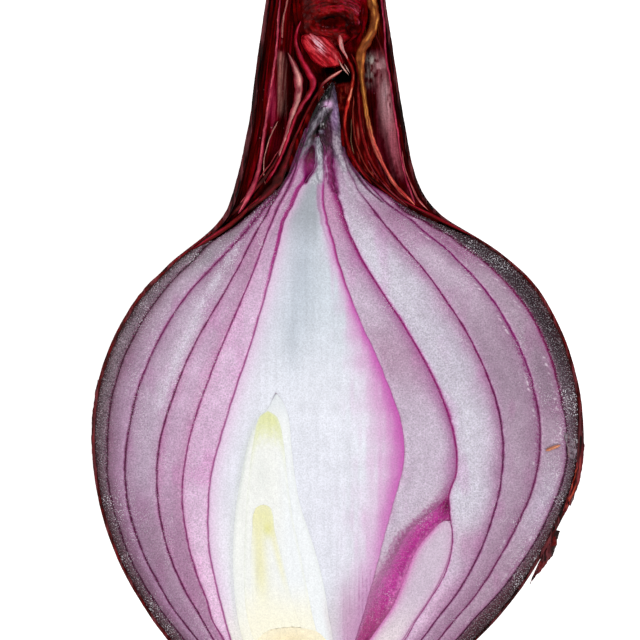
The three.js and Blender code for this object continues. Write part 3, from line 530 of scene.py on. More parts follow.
    # dark skins beside the dried leaves, with a pale line outside each
    fleck = smooth(0.0, 0.5, noise(u / 1.1, v / 1.8, 99))
    purple = mix(np.broadcast_to(rgb(98, 24, 74), c.shape), rgb(44, 10, 30), fleck)
    c = ribbon(c, u, v, [(122, 309), (130, 306), (138, 303.6), (147, 300.6), (156, 297.2), (166, 292.8), (176, 287.6), (186, 281.6), (196, 274.6), (206, 266)],
               [3, 4, 4.4, 4.6, 4.6, 4.4, 4, 3.4, 3, 2.4], purple, 0.96, 6)
    c = ribbon(c, u, v, [(128, 304.4), (134, 301.8), (140, 299.4), (150, 295.6), (160, 291.4), (170, 286.6), (180, 281.0), (190, 274.4)], [1.6, 2.6, 2.8, 2.6, 2.4, 2.2, 2, 1.6],
               mix(np.broadcast_to(rgb(124, 112, 114), c.shape), rgb(184, 172, 174), fleck), 0.85, 7)
    c = ribbon(c, u, v, [(148, 307.6), (160, 301.4), (172, 297.0), (184, 291.4), (196, 284.4), (208, 276.6)], 1.8, rgb(126, 40, 96), 0.55, 10)
    c = ribbon(c, u, v, [(118, 341), (130, 341.8), (142, 343.2), (152, 345.8), (162, 349.8), (172, 355.2), (182, 362), (192, 371), (202, 382)],
               [2.4, 3, 3.4, 3.8, 3.8, 3.6, 3.2, 2.8, 2.2], purple, 0.95, 8)
    c = ribbon(c, u, v, [(160, 353.2), (167, 357.2), (174, 362), (182, 369), (190, 378.4)], [2, 2.6, 2.8, 2.6, 2], mix(np.broadcast_to(rgb(110, 92, 88), c.shape), rgb(178, 166, 156), fleck), 0.8, 9)
    pits = smooth(0.25, 0.5, noise(u / 1.1, v / 1.6, 88)) * smooth(5.5, 1.0, FLESH_R(v) - u) * smooth(118, 128, v) * smooth(182, 168, v)
    c = mix(c, rgb(40, 18, 30), 0.8 * pits)
    # wet glints
    glint = smooth(0.62, 0.74, noise(u / 1.0, v / 1.0, 94)) * np.maximum(bump(u, v, 325, 93, 5, 9, 0.5), bump(u, v, 322, 128, 6, 14))
    return mix(c, rgb(220, 220, 222), 0.9 * glint)


def cone_z(u, v):
    """Relief of the dried tip, in mm."""
    u, v = np.broadcast_arrays(np.asarray(u, float), np.asarray(v, float))

    def along(path, width):
        f = curve(path)
        wide = np.interp(v, [p[0] for p in path], width) if np.ndim(width) else width
        return np.exp(-(np.abs((u - f(v)) / (0.56 * wide)) ** 3)) * smooth(f.v0 - 2, f.v0 + 2, v) * smooth(f.v1 + 2, f.v1 - 2, v)

    z = -0.75 * along(POCKET, POCKET_W) - 0.8 * bump(u, v, 321.5, 134, 7, 12, 0.12) - 0.35 * along(RIGHT_BAND, RIGHT_BAND_W)
    z = z - 0.6 * bump(u, v, 323, 92, 6, 13, 0.45) + 0.10 * along(GREY_BAND, 7.0) + 0.14 * bump(u, v, 329.5, 104, 4, 4)
    rough = smooth(176, 140, v)
    return z + rough * (0.10 * fbm(u / 2.2, v / 3.2, 98, 2) - 0.05)


def scale5_right(u, v):
    """Right limb of scale 5: plain flesh above, and the magenta furrow beside the bulblet below."""
    u, v = np.broadcast_arrays(np.asarray(u, float), np.asarray(v, float))
    do, di = R4(v) - u, u - R5(v)
    c = scale_colour(5, "R", u, v, do, di)
    # narrow magenta limb in the cone
    high = smooth(262, 205, v)
    c = mix(c, mix(np.broadcast_to(rgb(150, 62, 118), c.shape), rgb(186, 136, 170), smooth(1, 9, do)), 0.9 * high)
    c = line(c, do - 1.2, 5, 2.0, 0.0)
    c = mix(c, rgb(136, 18, 98), 0.85 * np.exp(-(((do - 0.8) / 1.7) ** 2)) * smooth(300, 250, v) * smooth(150, 185, v))
    # flank that falls into the furrow
    ds = R4S(v) - u
    grain = fbm(u / 2.2, v / 2.2, 131, 2)
    flank = mix(np.broadcast_to(rgb(150, 84, 128), c.shape), rgb(196, 178, 196), smooth(1, 15, ds + 4.5 * grain))
    low = smooth(474, 500, v)
    c = mix(c, flank, low * smooth(24, 14, ds) * smooth(600, 560, v))
    c = mix(c, mix(np.broadcast_to(rgb(170, 98, 146), c.shape), rgb(192, 150, 178), smooth(2, 12, ds)), smooth(545, 590, v) * (ds > -2))
    # the furrow itself
    gl, gr = R4S(v), np.where(v < 520, R4(v), BUD_L(v))
    wide = np.maximum(gr - gl, 0.5)
    t = np.clip((u - gl) / wide, 0, 1)
    deep = mix(np.broadcast_to(rgb(168, 80, 142), c.shape), rgb(172, 46, 136), smooth(0.05, 0.42, t + 0.1 * grain))
    deep = mix(deep, rgb(198, 98, 166), smooth(0.66, 1.0, t + 0.14 * grain))
    deep = mix(deep, rgb(218, 124, 190), 0.6 * smooth(0.55, 0.95, t + 0.16 * grain) * smooth(532, 578, v))
    deep = mix(deep, rgb(206, 130, 182), 0.35 * smooth(555, 620, v) * smooth(-0.2, 0.5, noise(u / 1.6, v / 30.0, 135)))
    deep = mix(deep, rgb(120, 12, 82), 0.9 * bump(u, v, 447, 506, 7, 13))
    deep = mix(deep, rgb(150, 50, 102), 0.6 * smooth(585, 630, v))
    deep = deep * (1 + 0.09 * grain[..., None])
    inside = smooth(-1.2, 0.8, u - gl) * smooth(484, 492, v)
    return mix(c, deep, inside)


def scale5_right_height(u, v):
    """How far the furrow and the bulblet's nest lie under the cut face."""
    u, v = np.broadcast_arrays(np.asarray(u, float), np.asarray(v, float))
    gl, gr = R4S(v), np.where(v < 522, R4(v), BUD_L(v))
    wide = np.maximum(gr - gl, 0.5)
    t = np.clip((u - gl) / wide, 0, 1)
    depth = np.minimum(0.62, 0.06 * wide) * smooth(484, 500, v)
    z = -depth * np.sin(np.pi * np.clip(t, 0, 1) * 0.86) ** 1.2
    nest = smooth(520, 530, v) * smooth(BUD_L(v) - 0.1, BUD_L(v) + 1.2, u)
    return z - (3.0 - depth * 0.3) * nest


def heart(u, v):
    """Colour of scale 6: bluish white, a grey-blue shaded band above, a pink to magenta edge on the right."""
    u, v = np.broadcast_arrays(np.asarray(u, float), np.asarray(v, float))
    dl, dr = u - L5(v), R5(v) - u
    c = np.broadcast_to(rgb(228, 230, 239), u.shape + (3,)).copy()
    c = mix(c, rgb(208, 215, 224), smooth(400, 290, v))
    c = mix(c, rgb(196, 201, 210), smooth(300, 215, v) * 0.9)
    c = mix(c, rgb(184, 192, 203), 0.75 * bump(u, v, 302, 262, 13, 62) + 0.35 * bump(u, v, 292, 330, 10, 46))
    c = mix(c, rgb(158, 163, 171), 0.85 * smooth(252, 212, v) * smooth(322, 314, u))
    c = mix(c, rgb(238, 238, 243), 0.7 * smooth(470, 560, v) * smooth(330, 250, u))
    c = mix(c, rgb(226, 224, 236), 0.5 * bump(u, v, 340, 520, 34, 70))
    stripe = fbm((u - 300) / 3.4, v / 75.0, 141, 3)
    c = c * (1 + 0.028 * stripe[..., None])
    fine = noise((u + 0.06 * (v - 500)) / 1.15, v / 60.0, 143)
    c = c * (1 - 0.035 * (np.maximum(fine, 0) * smooth(470, 560, v) * smooth(300, 335, u))[..., None])
    mott = fbm(u / 12.0, v / 12.0, 145, 3)
    c = c * (1 + 0.03 * mott[..., None])
    # left edge
    c = mix(c, rgb(219, 176, 210), 0.95 * np.exp(-((np.maximum(dl, 0) / 6.0) ** 1.6)) * smooth(640, 560, v))
    c = mix(c, rgb(228, 206, 229), 0.7 * np.exp(-((np.maximum(dl, 0) / 15.0) ** 1.6)) * smooth(190, 300, v))
    # right edge: a pink film that thickens to magenta
    bw = np.interp(v, [150, 200, 250, 300, 340, 380, 420, 445, 480, 520, 560, 600, 640], [4, 6, 9, 13, 19, 25, 31, 32, 31, 28, 24, 20, 16])
    wob = 1 + 0.16 * noise(v / 14.0, 0.0, 151) + 0.22 * noise(u / 4.0, v / 26.0, 153)
    t = np.maximum(dr, 0) / (bw * wob)
    strength = np.interp(v, [150, 230, 300, 420, 480, 540, 620], [0.9, 0.8, 0.9, 1.0, 0.9, 0.66, 0.5])
    c = mix(c, rgb(216, 176, 210), np.clip(0.92 * np.exp(-((t / 1.05) ** 2.6)) * strength, 0, 1))
    c = mix(c, rgb(206, 136, 192), 0.85 * np.exp(-((t / 0.55) ** 2.0)) * strength)
    c = mix(c, rgb(194, 84, 172), 0.92 * np.exp(-((t / 0.26) ** 1.8)) * np.interp(v, [200, 260, 330, 440, 500, 560, 600], [0.5, 0.7, 0.9, 1.0, 0.7, 0.25, 0.1]))
    c = mix(c, rgb(224, 206, 226), 0.5 * bump(u, v, 372, 470, 4, 60))
    c = mix(c, rgb(192, 140, 182), 0.75 * np.exp(-((dr / 13.0) ** 2)) * smooth(555, 610, v))
    c = mix(c, rgb(168, 112, 156), 0.6 * smooth(0.0, 0.7, noise(u / 1.3, v / 60.0, 157)) * smooth(540, 600, v) * np.exp(-(((dr - 8) / 12.0) ** 2)))
    c = mix(c, rgb(192, 148, 180), 0.7 * bump(u, v, 348, 616, 12, 36))
    # wet stripes beside the right edge in the cone
    st = noise((u - R5(v)) / 1.7, v / 40.0, 155)
    c = mix(c, rgb(150, 96, 136), 0.55 * smooth(0.1, 0.6, st) * smooth(275, 225, v) * smooth(11, 5, dr))
    c = mix(c, rgb(146, 30, 106), 0.9 * np.exp(-(((dr - 0.6) / 1.6) ** 2)) * smooth(330, 260, v) * smooth(150, 190, v))
    # grey translucent tip
    c = mix(c, rgb(150, 146, 156), 0.6 * smooth(196, 160, v + 5 * mott))
    # painted grey shadow line beside the shoot, and the flesh around it
    c = mix(c, rgb(206, 210, 210), 0.5 * np.exp(-(((SHEATH_L(v) - 1.5 - u) / 2.6) ** 2)) * smooth(396, 420, v))
    c = mix(c, rgb(205, 211, 212), 0.7 * bump(u, v, 276.5, 399, 3.2, 5.5))
    c = mix(c, rgb(240, 236, 224), 0.7 * smooth(590, 645, v) * smooth(318, 296, u))
    c = mix(c, rgb(208, 196, 204), 0.7 * bump(u, v, 330, 628, 9, 26, 0.1))
    return c


def shoot_colour(kind, u, v):
    u, v = np.broadcast_arrays(np.asarray(u, float), np.asarray(v, float))
    c = mix(np.broadcast_to(rgb(243, 244, 240), u.shape + (3,)), rgb(242, 245, 247), smooth(272, 292, u))
    fibre = fbm((u - 262) / 1.7, v / 42.0, 161, 3)
    grain = fbm(u / 2.3, v / 2.3, 163, 2)
    c = c * (1 + 0.018 * fibre[..., None] + 0.014 * grain[..., None])
    if kind == "sheath":
        d = np.minimum(u - SHEATH_L(v), SHEATH_R(v) - u)
        c = mix(c, rgb(216, 221, 216), 0.75 * np.exp(-(((u - SHEATH_L(v) - 1) / 2.0) ** 2)) * smooth(560, 470, v))
        c = mix(c, rgb(230, 233, 232), 0.5 * np.exp(-((d / 2.6) ** 2)))
        c = mix(c, rgb(228, 232, 237), 0.8 * smooth(428, 402, v))
    elif kind == "leaf":
        d = np.minimum(u - LEAF_L(v), LEAF_R(v) - u)
        tip = smooth(452, 416, v + 6 * grain)
        c = mix(c, rgb(226, 229, 168), 0.9 * tip)
        c = mix(c, rgb(222, 227, 168), 0.55 * np.exp(-((d / 3.4) ** 2)) * smooth(478, 430, v))
        c = mix(c, rgb(236, 239, 228), 0.5 * np.exp(-((d / 2.2) ** 2)))
        c = mix(c, rgb(232, 234, 230), 0.7 * bump(u, v, 262, 474, 9, 20))
        c = mix(c, rgb(252, 248, 226), 0.75 * smooth(575, 625, v))
    else:
        tip = smooth(552, 512, v + 7 * grain)
        c = mix(c, rgb(238, 238, 194), 0.72 * tip)
        c = mix(c, rgb(226, 224, 138), 0.85 * bump(u, v, 268, 528, 5.2, 7.0))
        c = mix(c, rgb(234, 232, 168), 0.6 * bump(u, v, 264, 516, 8, 8))
        left = np.exp(-(((u - (258 + 0.07 * (v - 530))) / 6.5) ** 2)) * smooth(625, 570, v)
        right = 0.7 * np.exp(-(((u - (271.5 + 0.25 * (v - 530))) / 3.0) ** 2)) * smooth(605, 560, v)
        c = mix(c, rgb(238, 234, 186), 0.78 * np.clip(left + right, 0, 1))
        c = mix(c, rgb(206, 202, 160), 0.25 * np.exp(-(((u - 257) / 1.8) ** 2)) * bump(u, v, 256, 572, 9, 20))
        c = mix(c, rgb(253, 249, 224), 0.75 * smooth(570, 625, v))
    c = mix(c, rgb(214, 200, 206), 0.5 * smooth(8, 1, SHEATH_R(v) - u) * smooth(585, 625, v))
    c = mix(c, rgb(251, 246, 224), 0.6 * smooth(590, 640, v) * smooth(316, 300, u))
    return c


def plate_colour(u, v):
    u, v = np.broadcast_arrays(np.asarray(u, float), np.asarray(v, float))
    g = fbm(u / 4.0, v / 4.0, 171, 3)
    c = mix(np.broadcast_to(rgb(252, 245, 220), u.shape + (3,)), rgb(248, 230, 190), 0.75 * bump(u, v, 290, 640, 26, 12))
    c = mix(c, rgb(232, 208, 160), smooth(640, 676, v + 8 * g))
    c = mix(c, rgb(206, 176, 128), 0.8 * smooth(690, 722, v + 6 * g))
    c = mix(c, rgb(150, 112, 78), 0.7 * smooth(716, 732, v + 4 * g))
    d = np.minimum(u - PLATE_L(v), PLATE_R(v) - u)
    c = mix(c, rgb(214, 186, 140), 0.5 * np.exp(-((d / 2.0) ** 2)) * smooth(655, 680, v))
    return c * (1 + 0.045 * g[..., None])


def bud_colour(u, v):
    u, v = np.broadcast_arrays(np.asarray(u, float), np.asarray(v, float))
    dl, dr = u - BUD_L(v), BUD_R(v) - u
    c = mix(np.broadcast_to(rgb(205, 187, 205), u.shape + (3,)), rgb(226, 212, 218), smooth(590, 645, v))
    c = c * (1 + 0.03 * fbm(u / 7.0, v / 12.0, 181, 3)[..., None])
    c = mix(c, rgb(214, 150, 196), 0.95 * np.exp(-((np.maximum(dl, 0) / 5.0) ** 1.4)))
    c = mix(c, rgb(212, 120, 186), 0.7 * np.exp(-((np.maximum(dl, 0) / 2.0) ** 2)))
    c = mix(c, rgb(206, 168, 198), 0.9 * np.exp(-((np.maximum(dr, 0) / 4.5) ** 1.4)))
    c = mix(c, rgb(204, 176, 200), 0.7 * smooth(535, 522, v))
    c = mix(c, rgb(232, 214, 190), 0.6 * smooth(650, 676, v))
    return mix(c, rgb(152, 88, 132), 0.8 * np.exp(-((dr / 0.9) ** 2)) * smooth(676, 655, v))


# The plate's dome is a little broader at its top than a plain disc.
PLATE_L = curve([(627, 292), (628.5, 280), (630, 272), (633, 265.5), (636, 261), (640, 257), (648, 253.5), (660, 251), (680, 249.5),
                 (700, 247.2), (713, 247.5), (722, 249), (730, 252)])
PLATE_R = curve([(627, 293), (628.5, 304), (630, 312), (633, 318.5), (636, 322), (640, 325.5), (650, 331), (660, 336), (680, 344.2),
                 (700, 351), (713, 352.5), (722, 352), (730, 350)])


# ---- surfaces of the neck --------------------------------------------------------------
def depth(left, right, u, v, f=0.96):
    """Depth in mm of a half-elliptic body between two profiles, 0 outside it."""
    c, w = (left(v) + right(v)) / 2, (right(v) - left(v)) / 2
    return f * UNIT * np.sqrt(np.maximum(w * w - (u - c) ** 2, 0)) * (w > 0)


def flesh_depth(u, v):
    """Depth of the fleshy cone that pokes up between the dried leaves."""
    d = depth(held_L(L3), held_R(R3), u, v) * (v > 80)
    d = np.maximum(d, depth(held_L(L2), held_R(R2), u, v) * (v > 150))
    return np.maximum(d, depth(held_L(L1), held_R(R1), u, v) * (v > 166))


def streak(u, v, path, width):
    """Soft ridge along a path; width may change along it."""
    wide = width(v) if callable(width) else width
    f = curve(path) if not callable(path) else path
    inside = smooth(f.v0 - 4, f.v0 + 2, v) * smooth(f.v1 + 4, f.v1 - 2, v)
    return np.exp(-(((u - f(v)) / (0.6 * wide)) ** 2)) * inside


LINE_B = [(-76, 283), (0, 279.4), (25, 278), (44, 276.8), (70, 273.9), (90, 270.5), (109, 268), (132, 264.3), (148, 262), (176, 257), (196, 248.5), (214, 238)]
LINE_C = [(-76, 294), (0, 287.3), (18, 283.4), (44, 281.6), (60, 280.5), (92, 279)]
LINE_C2 = [(121, 277.8), (138, 269.8), (153, 265.2), (173, 263.6), (184, 265)]
LINE_E = [(52, 287.6), (63, 293), (76, 297.8), (88, 298.8), (105, 296), (117, 291.8), (139, 285.6), (160, 277)]
LINE_K = [(-76, 373), (0, 381.7), (29, 384.6), (56, 386), (82, 390.5), (109, 394), (132, 397.8), (155, 400.8), (180, 406.6), (203, 415)]
LINE_M = [(-40, 382), (4, 386), (37, 390.5), (62, 395), (94, 400.5), (132, 407.5), (170, 413)]
LINE_A = [(-40, 274), (30, 270.2), (55, 267.5), (75, 263.5), (120, 258), (190, 243)]


def neck_colour(u, v):
    """Dried leaf bases of the neck, looked at from above."""
    u, v = np.broadcast_arrays(np.asarray(u, float), np.asarray(v, float))
    mid = (OUT_L(v) + OUT_R(v)) / 2
    side = (u - mid) / np.maximum((OUT_R(v) - OUT_L(v)) / 2, 1)
    warp = u - 0.92 * side * (OUT_R(v) - OUT_L(v)) / 2  # fibres follow the waist
    n = fbm(side * 42.0, v / 34.0, 201, 3)
    f = noise(side * 95.0, v / 22.0, 203)
    c = mix(np.broadcast_to(rgb(52, 6, 12), u.shape + (3,)), rgb(112, 24, 34), smooth(-0.3, 0.6, n))
    c = mix(c, rgb(22, 0, 3), 0.62 * smooth(0.05, 0.7, -f))
    # crimson folds between the outer leaves and the heart, upper left
    c = mix(c, mix(np.broadcast_to(rgb(76, 6, 16), c.shape), rgb(140, 22, 40), smooth(-0.2, 0.5, n)),
            smooth(281, 286, u) * smooth(304, 297, u) * smooth(66, 40, v))
    # pink-maroon leaf, then a grey-brown one
    c = mix(c, mix(np.broadcast_to(rgb(112, 34, 52), c.shape), rgb(160, 62, 84), smooth(-0.4, 0.5, f)),
            0.9 * bump(u, v, 272, 104, 5.5, 26, 0.0) * smooth(266, 269, u))
    c = mix(c, mix(np.broadcast_to(rgb(86, 42, 42), c.shape), rgb(126, 84, 78), smooth(-0.5, 0.5, f)),
            0.95 * smooth(276, 278.5, u) * smooth(288.5, 286, u) * smooth(44, 60, v) * smooth(124, 108, v))
    c = mix(c, rgb(62, 6, 14), 0.8 * smooth(285.5, 288, u) * smooth(293, 289, u) * smooth(62, 76, v) * smooth(150, 130, v))
    c = mix(c, rgb(120, 32, 44), 0.7 * bump(u, v, 276, 146, 6, 20, 0.35))
    # right hollow: grey sheen painted above, a pinkish wall below with pale patches of painted sheen, and painted shade
    # in its darkest parts
    hollow = smooth(364, 368, u - 0.11 * np.maximum(v - 90, 0)) * smooth(404, 398, u - 0.2 * (v - 120)) * smooth(44, 54, v) * smooth(206, 196, v)
    blot = fbm(u / 3.0, v / 5.0, 213, 3)
    c = mix(c, mix(np.broadcast_to(rgb(74, 24, 30), c.shape), rgb(122, 56, 62), smooth(-0.4, 0.6, n + 0.5 * blot)), 0.9 * hollow)
    c = mix(c, rgb(164, 160, 152), np.clip(1.4 * bump(u, v, 370.5, 59, 4.8, 6.5), 0, 0.95) * smooth(-0.7, 0.1, blot))
    c = mix(c, rgb(54, 10, 14), 0.8 * bump(u, v, 374, 65.5, 6, 1.8, 0.25))
    c = mix(c, rgb(146, 138, 132), np.clip(1.3 * bump(u, v, 369.5, 76, 4.6, 11), 0, 0.9) * smooth(-0.7, 0.1, blot))
    c = mix(c, rgb(186, 140, 146), np.clip(1.4 * bump(u, v, 381.5, 64, 6, 7, 0.4), 0, 0.95) * smooth(-0.6, 0.2, blot))
    c = mix(c, rgb(192, 142, 148), np.clip(1.25 * bump(u, v, 385.5, 106, 6.4, 34, -0.09), 0, 0.95) * smooth(-0.9, 0.0, n + 0.7 * blot))
    c = mix(c, rgb(196, 160, 166), 0.7 * bump(u, v, 385, 92, 2.6, 14, -0.05) * smooth(-0.5, 0.2, blot))
    c = mix(c, rgb(150, 80, 94), 0.85 * bump(u, v, 393, 152, 8, 34, -0.12) * smooth(-0.8, 0.3, n + 0.7 * blot))
    c = mix(c, rgb(92, 16, 28), 0.7 * bump(u, v, 383, 150, 4, 22, -0.25))
    c = mix(c, rgb(40, 4, 10), 0.8 * bump(u, v, 373, 108, 4, 30, -0.1))
    c = mix(c, rgb(50, 8, 14), 0.75 * bump(u, v, 402, 186, 9, 8, 0.5))
    # brown leaf that comes down from the top on the right
    c = mix(c, mix(np.broadcast_to(rgb(70, 20, 18), c.shape), rgb(128, 66, 38), smooth(-0.3, 0.5, f)),
            0.9 * smooth(352, 357, u) * smooth(384, 378, u) * smooth(52, 30, v))
    # lines of cut leaf edges
    for path, wide, col, k in (
        (LINE_A, 1.5, rgb(104, 66, 60), 0.4), (LINE_M, 1.3, rgb(150, 100, 92), 0.65), (LINE_C, 1.6, rgb(176, 112, 106), 0.9),
    ):
        c = mix(c, col, k * streak(u, v, path, wide) * smooth(-0.9, 0.1, noise(v / 7.0, 0.0, 207)))
    c = mix(c, rgb(150, 60, 62), 0.7 * streak(u, v, [(34, 376), (55, 384)], 1.4))
    # the outermost bands stay dark
    outside = np.maximum(smooth(11.5, 8, u - OUT_L(v)), smooth(9.5, 6.5, OUT_R(v) - u))
    dark = mix(np.broadcast_to(rgb(30, 0, 3), c.shape), rgb(64, 4, 10), smooth(-0.2, 0.6, f + 0.5 * n))
    c = mix(c, dark, 0.85 * outside)
    c = mix(c, rgb(110, 70, 66), 0.35 * outside * (streak(u, v, LINE_A, 1.5) + streak(u, v, LINE_M, 1.2)) * smooth(-0.9, 0.2, n))
    speck = noise(u / 1.3, v / 1.3, 211)
    c = mix(c, rgb(176, 130, 132), 0.7 * smooth(0.88, 0.97, speck) * smooth(70, 90, v) * smooth(150, 140, v))
    return c


def heart_colour(u, v):
    """Inside the innermost dry leaf: crimson crumpled leaf above, dark red walls below, with black painted shade in the
    hollows.
    """
    u, v = np.broadcast_arrays(np.asarray(u, float), np.asarray(v, float))
    n = fbm(u / 7.0, v / 9.0, 221, 3)
    f = noise((u - 0.10 * v) / 1.5, v / 22.0, 223)
    c = mix(np.broadcast_to(rgb(74, 4, 12), u.shape + (3,)), rgb(132, 20, 36), smooth(-0.35, 0.6, n + 0.3 * f))
    wall = mix(np.broadcast_to(rgb(64, 12, 14), u.shape + (3,)), rgb(124, 36, 36), smooth(-0.2, 0.7, f + 0.6 * n))
    c = mix(c, wall, smooth(44, 66, v))
    c = mix(c, rgb(156, 96, 78), 0.5 * smooth(0.45, 0.8, f) * smooth(110, 130, v) * smooth(344, 350, u))
    # painted shade left of the cone, where the trough floor lies under the strands
    c = mix(c, rgb(36, 8, 6), 0.75 * smooth(322, 312, u - 0.0 * v) * smooth(84, 98, v))
    c = mix(c, mix(np.broadcast_to(rgb(74, 12, 16), c.shape), rgb(126, 42, 40), smooth(-0.2, 0.6, noise((u - 0.6 * v) / 1.5, (v + u) / 14.0, 225))), 0.85 * bump(u, v, 315, 70, 8, 6, 0.5))
    # painted shade: the hollows are painted near black
    dark = np.maximum(bump(u, v, 329.5, 69.5, 5.5, 3.2, 0.1), 0.8 * bump(u, v, 312, 90, 4, 12, 0.4))
    dark = np.maximum(dark, bump(u, v, 339, 79, 8, 3.4, 0.15))
    return mix(c, rgb(12, 3, 4), np.clip(1.5 * dark, 0, 0.96))


def crumple_colour(u, v, z):
    """Crimson leaf crumpled in arcs around the hollow it has fallen into."""
    u, v = np.broadcast_arrays(np.asarray(u, float), np.asarray(v, float))
    du, dv = (u - 333) / 1.4, v - 22
    r, th = np.sqrt(du * du + dv * dv), np.arctan2(du, -dv)
    n = fbm(u / 7.0, v / 6.0, 231, 3)
    arc = noise(r / 1.5 + 0.6 * n, th * 3.0, 233)
    fine = noise(r / 0.7, th * 7.0, 235)
    # lighter where the leaf stands higher: painted light on the crests and shade in the dips
    c = mix(np.broadcast_to(rgb(84, 0, 10), u.shape + (3,)), rgb(154, 12, 34), smooth(-0.3, 0.6, n + 0.3 * arc + 0.5 * z))
    c = mix(c, rgb(178, 34, 58), 0.6 * smooth(0.2, 0.8, arc + 0.3 * fine) * smooth(300, 345, u))
    c = mix(c, rgb(46, 0, 6), 0.5 * smooth(0.3, 0.9, -arc + 0.3 * fine))
    # painted pink highlights on the folds to the right
    pink_highlight = bump(u, v, 362, 22, 4.5, 6, 0.5) + 0.8 * bump(u, v, 355, 9, 7, 3, 0.7) + 0.5 * bump(u, v, 345, 3, 9, 4) + 0.3 * bump(u, v, 318, 3, 6, 6)
    c = mix(c, rgb(216, 104, 132), 0.85 * np.clip(pink_highlight, 0, 1) * smooth(-0.2, 0.5, fine + 0.4 * arc))
    return mix(c, rgb(66, 2, 8), 0.55 * smooth(322, 302, u) * smooth(-0.3, 0.5, -n))


CX = (cad_box[0][0] + cad_box[1][0]) * 500.0
CY = (cad_box[0][1] + cad_box[1][1]) * 500.0
DEEP = TOP  # mm from the cut face to the table


def place(u, v, z):
    """Plan units and mm of height to metres in the frame."""
    u, v, z = np.broadcast_arrays(u, v, z)
    return np.stack([((u - U0) * UNIT + CX) * 1e-3, ((V0 - v) * UNIT + CY) * 1e-3, (TOP + z) * 1e-3], -1)


def linear(c, dim=0.0):
    c = np.clip(np.asarray(c, float) / 255.0, 0, 1)
    lin = np.where(c <= 0.04045, c / 12.92, ((c + 0.055) / 1.055) ** 2.4)
    return np.clip(lin - dim, 0.0008, 1)


def build(name, points, faces, colours, material, nodes=(), lay=None, dim=0.010, sharp=42.0, glisten=None):
    """One closed piece with a colour for each of its points; glisten says how much painted glint sparkle each of them
    gets.
    """
    dim = {"dry_sheath": 0.004, "dry_leaf": 0.006}.get(material.name, dim)
    mesh = bpy.data.meshes.new(name)
    mesh.from_pydata(np.asarray(points, float).reshape(-1, 3).tolist(), [], faces)
    mesh.update()
    tint = mesh.attributes.new("tint", "FLOAT_COLOR", "POINT")
    lin = linear(np.asarray(colours, float).reshape(-1, 3), dim)
    shine = np.full(len(lin), 0.35) if glisten is None else np.asarray(glisten, float).ravel()
    tint.data.foreach_set("color", np.concatenate([lin, shine[:, None]], 1).astype(np.float32).ravel())
    if lay is not None:
        at = mesh.attributes.new("lay", "FLOAT_VECTOR", "POINT")
        at.data.foreach_set("vector", np.asarray(lay, np.float32).reshape(-1, 3).ravel())
    mesh.validate()
    mesh.shade_smooth()
    mesh.set_sharp_from_angle(angle=math.radians(sharp))
    obj = bpy.data.objects.new(name, mesh)
    bpy.context.collection.objects.link(obj)
    mesh.materials.append(material)
    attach(obj, "root")
    if nodes:
        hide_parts(*nodes)
    return obj


def ringed(top, under):
    """Points and faces of a closed body from its upper rows and its lower rows. Rows run from the neck to the
    base, columns from left to right; both share their first and last column."""
    rows, n = top[0].shape
    m = under[0].shape[1]
    tp = place(*top)
    up = place(*[a[:, 1:-1] for a in under])
    points = np.concatenate([tp.reshape(-1, 3), up.reshape(-1, 3)])
    T = np.arange(rows * n).reshape(rows, n)
    B = np.empty((rows, m), int)
    B[:, 0], B[:, -1] = T[:, 0], T[:, -1]
    B[:, 1:-1] = rows * n + np.arange(rows * (m - 2)).reshape(rows, m - 2)
    up_faces = np.stack([T[:-1, :-1], T[1:, :-1], T[1:, 1:], T[:-1, 1:]], -1).reshape(-1, 4)
    low_faces = np.stack([B[:-1, :-1], B[:-1, 1:], B[1:, 1:], B[1:, :-1]], -1).reshape(-1, 4)
    faces = up_faces.tolist() + low_faces.tolist()
    first = T[0].tolist() + B[0, 1:-1][::-1].tolist()
    last = (T[-1].tolist() + B[-1, 1:-1][::-1].tolist())[::-1]
    return points, faces + [first, last]


EDGE = np.array([0, 0.35, 0.8, 1.4, 2.2, 3.2, 4.6, 6.4, 8.6])


def columns(a, b, count):
    """Columns between two edges, closer together near both."""
    wide = np.maximum(b - a, 0.02)
    e = EDGE[None, :] * np.minimum(1.0, wide / (2.6 * EDGE[-1]))
    mids = count - 2 * len(EDGE)
    t = np.linspace(0, 1, mids + 2)[1:-1][None, :]
    inner = a + e[:, -1:] + (wide - 2 * e[:, -1:]) * t
    return np.concatenate([a + e, inner, b - e[:, ::-1]], 1)


def relief(d, amp=0.10, run=1.1):
    """The cut face dips a little at a skin."""
    return -amp * np.exp(-((np.maximum(d, 0) / run) ** 1.5))


